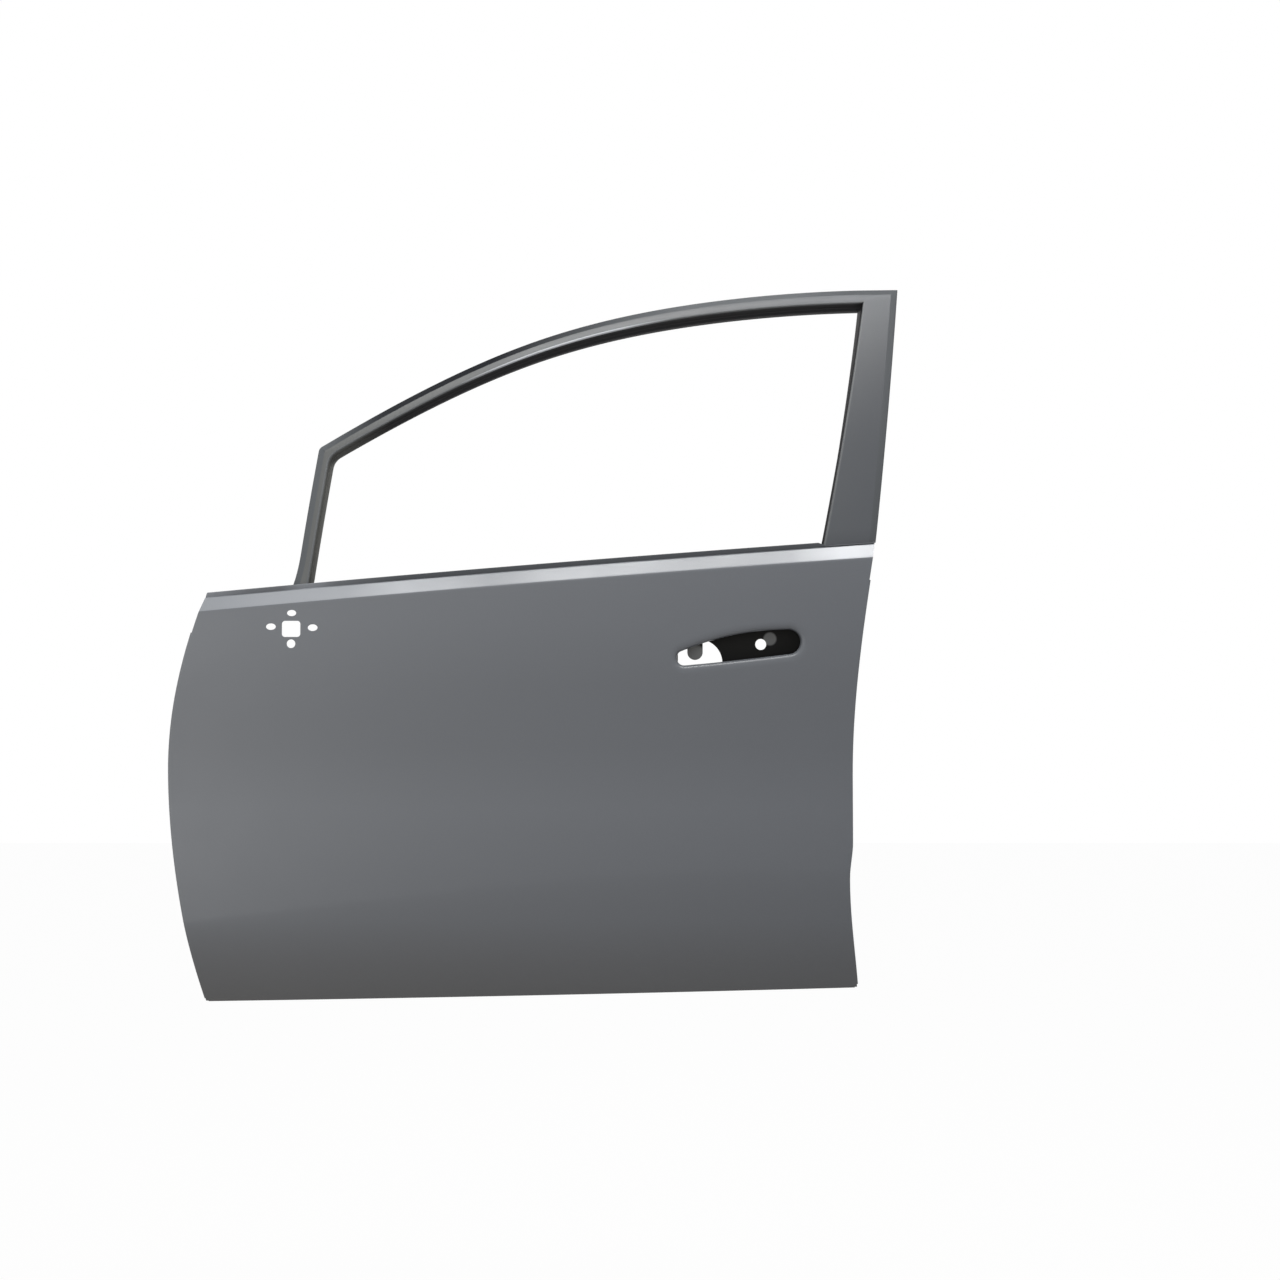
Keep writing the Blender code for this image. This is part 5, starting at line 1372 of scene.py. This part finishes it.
# Light, camera and background
stage = {
    "key": ((0.95, -1.10, 2.80), (0.65, -0.05, 0.15), (2.6, 0.6), 78, (1, 0.995, 0.98)),
    "back": ((1.20, 1.45, 2.05), (0.80, 0, 0.10), (2.0, 0.8), 30, (0.98, 0.99, 1)),
    "side": ((-1.5, -2.8, 0.1), (0.35, 0, -0.15), (1.8, 1.8), 17, (1, 1, 1)),
    "sky": (
        (-1.0, (0.18, 0.16, 0.14)), (-0.16, (0.255, 0.245, 0.235)), (0.04, (0.385, 0.395, 0.415)),
        (0.50, (0.42, 0.43, 0.46)), (1.0, (0.33, 0.34, 0.37)),
    ),
    "floorZ": -1.1,
    "floorSize": 9,
    "floorColour": (0.62, 0.60, 0.57),
    "floorRough": 0.8,
    "floorWhite": 0.97,
    "lens": 61.2,
    "view": (0.725, -3.56, 0.0715),
}


def softBox(name):
    place, target, size, power, colour = stage[name]
    lamp = bpy.data.lights.new(name, "AREA")
    lamp.shape = "RECTANGLE"
    lamp.size, lamp.size_y = size
    lamp.energy = power
    lamp.color = colour
    thing = objectFrom(name, lamp)
    thing.location = place
    thing.rotation_euler = (Vector(target) - Vector(place)).to_track_quat("-Z", "Y").to_euler()


# Rays from the camera and through mirrors see white, the rest sees the graded sky and the floor
def whiteRays(tree):
    path = tree.nodes.new("ShaderNodeLightPath")
    seen = path.outputs["Is Camera Ray"]
    for other in ("Is Glossy Ray", "Is Transmission Ray"):
        either = tree.nodes.new("ShaderNodeMath")
        either.operation = "MAXIMUM"
        tree.links.new(seen, either.inputs[0])
        tree.links.new(path.outputs[other], either.inputs[1])
        seen = either.outputs["Value"]
    return seen


def swapShader(tree, share, plain, white, end):
    swap = tree.nodes.new("ShaderNodeMixShader")
    for value, socket in ((share, swap.inputs["Fac"]), (plain, swap.inputs[1]), (white, swap.inputs[2])):
        tree.links.new(value, socket)
    tree.links.new(swap.outputs["Shader"], tree.nodes[end].inputs["Surface"])


def sky():
    world = bpy.data.worlds.new("studio")
    world.use_nodes = True
    tree = world.node_tree
    glow = tree.nodes["Background"]
    up = axisOf(tree, tree.nodes.new("ShaderNodeTexCoord").outputs["Generated"], "Z")
    tree.links.new(rampOf(tree, up, stage["sky"], -1.0, 1.0), glow.inputs["Color"])
    white = tree.nodes.new("ShaderNodeBackground")
    white.inputs["Color"].default_value = (1, 1, 1, 1)
    swapShader(tree, whiteRays(tree), glow.outputs["Background"], white.outputs["Background"], "World Output")
    return world


def floor():
    bm = bmesh.new()
    bmesh.ops.create_grid(bm, x_segments=1, y_segments=1, size=stage["floorSize"])
    bmesh.ops.translate(bm, verts=bm.verts, vec=(0.7, 0, stage["floorZ"]))
    sheet = objectFrom("floor", meshFrom("floor", bm))
    pale = bpy.data.materials.new("floorPaint")
    pale.use_nodes = True
    tree = pale.node_tree
    shader = tree.nodes["Principled BSDF"]
    shader.inputs["Base Color"].default_value = (*stage["floorColour"], 1)
    shader.inputs["Roughness"].default_value = stage["floorRough"]
    white = tree.nodes.new("ShaderNodeEmission")
    share = tree.nodes.new("ShaderNodeMath")
    share.operation = "MULTIPLY"
    share.inputs[1].default_value = stage["floorWhite"]
    tree.links.new(whiteRays(tree), share.inputs[0])
    swapShader(tree, share.outputs["Value"], shader.outputs["BSDF"], white.outputs["Emission"],
               "Material Output")
    sheet.data.materials.append(pale)
    return sheet


def camera():
    lens = bpy.data.cameras.new("camera")
    lens.lens = stage["lens"]
    lens.sensor_width = 36
    view = objectFrom("camera", lens)
    view.location = stage["view"]
    view.rotation_euler = (math.radians(90), 0, 0)
    return view


# Making
materials = {name: paint(name) for name in paints}
framePaints = [materials[name] for name in
               ("framePaint", "channelShadePaint", "rimShadePaint", "bendHighlightPaint", "postShadePaint")]
made = {
    "outer_panel": outerPanel([materials[name] for name in ("primerPaint", "stripLightAndShadePaint", "shoulderHighlightPaint")]),
    "frame_outer": frameOuter(framePaints),
    "frame_inner": frameInner(framePaints[:2]),
    "inner_panel": innerPanel(materials["dipPaint"]),
    "handle_reinforcement": handlePan(materials["panLightAndShadePaint"]),
}
print("panels, frame and pan made")
edgeRounds = {"mastic": 0.0012, "steel": 0.0003}
for node in nodes:
    if node not in made:
        if node.startswith("mastic"):
            made[node] = refined(node, materials["masticPaint"], edgeRounds["mastic"])
        else:
            made[node] = refined(node, materials["dipPaint"], edgeRounds["steel"])
print("small pieces made")
for node, piece in made.items():
    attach(piece, "root")
    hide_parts(node)
for cutter in list(cutters.objects):
    bpy.data.objects.remove(cutter)

scene = bpy.context.scene
scene.world = sky()
for name in ("key", "back", "side"):
    softBox(name)
floor()
scene.camera = camera()
scene.view_settings.view_transform = "Standard"
print("studio made")
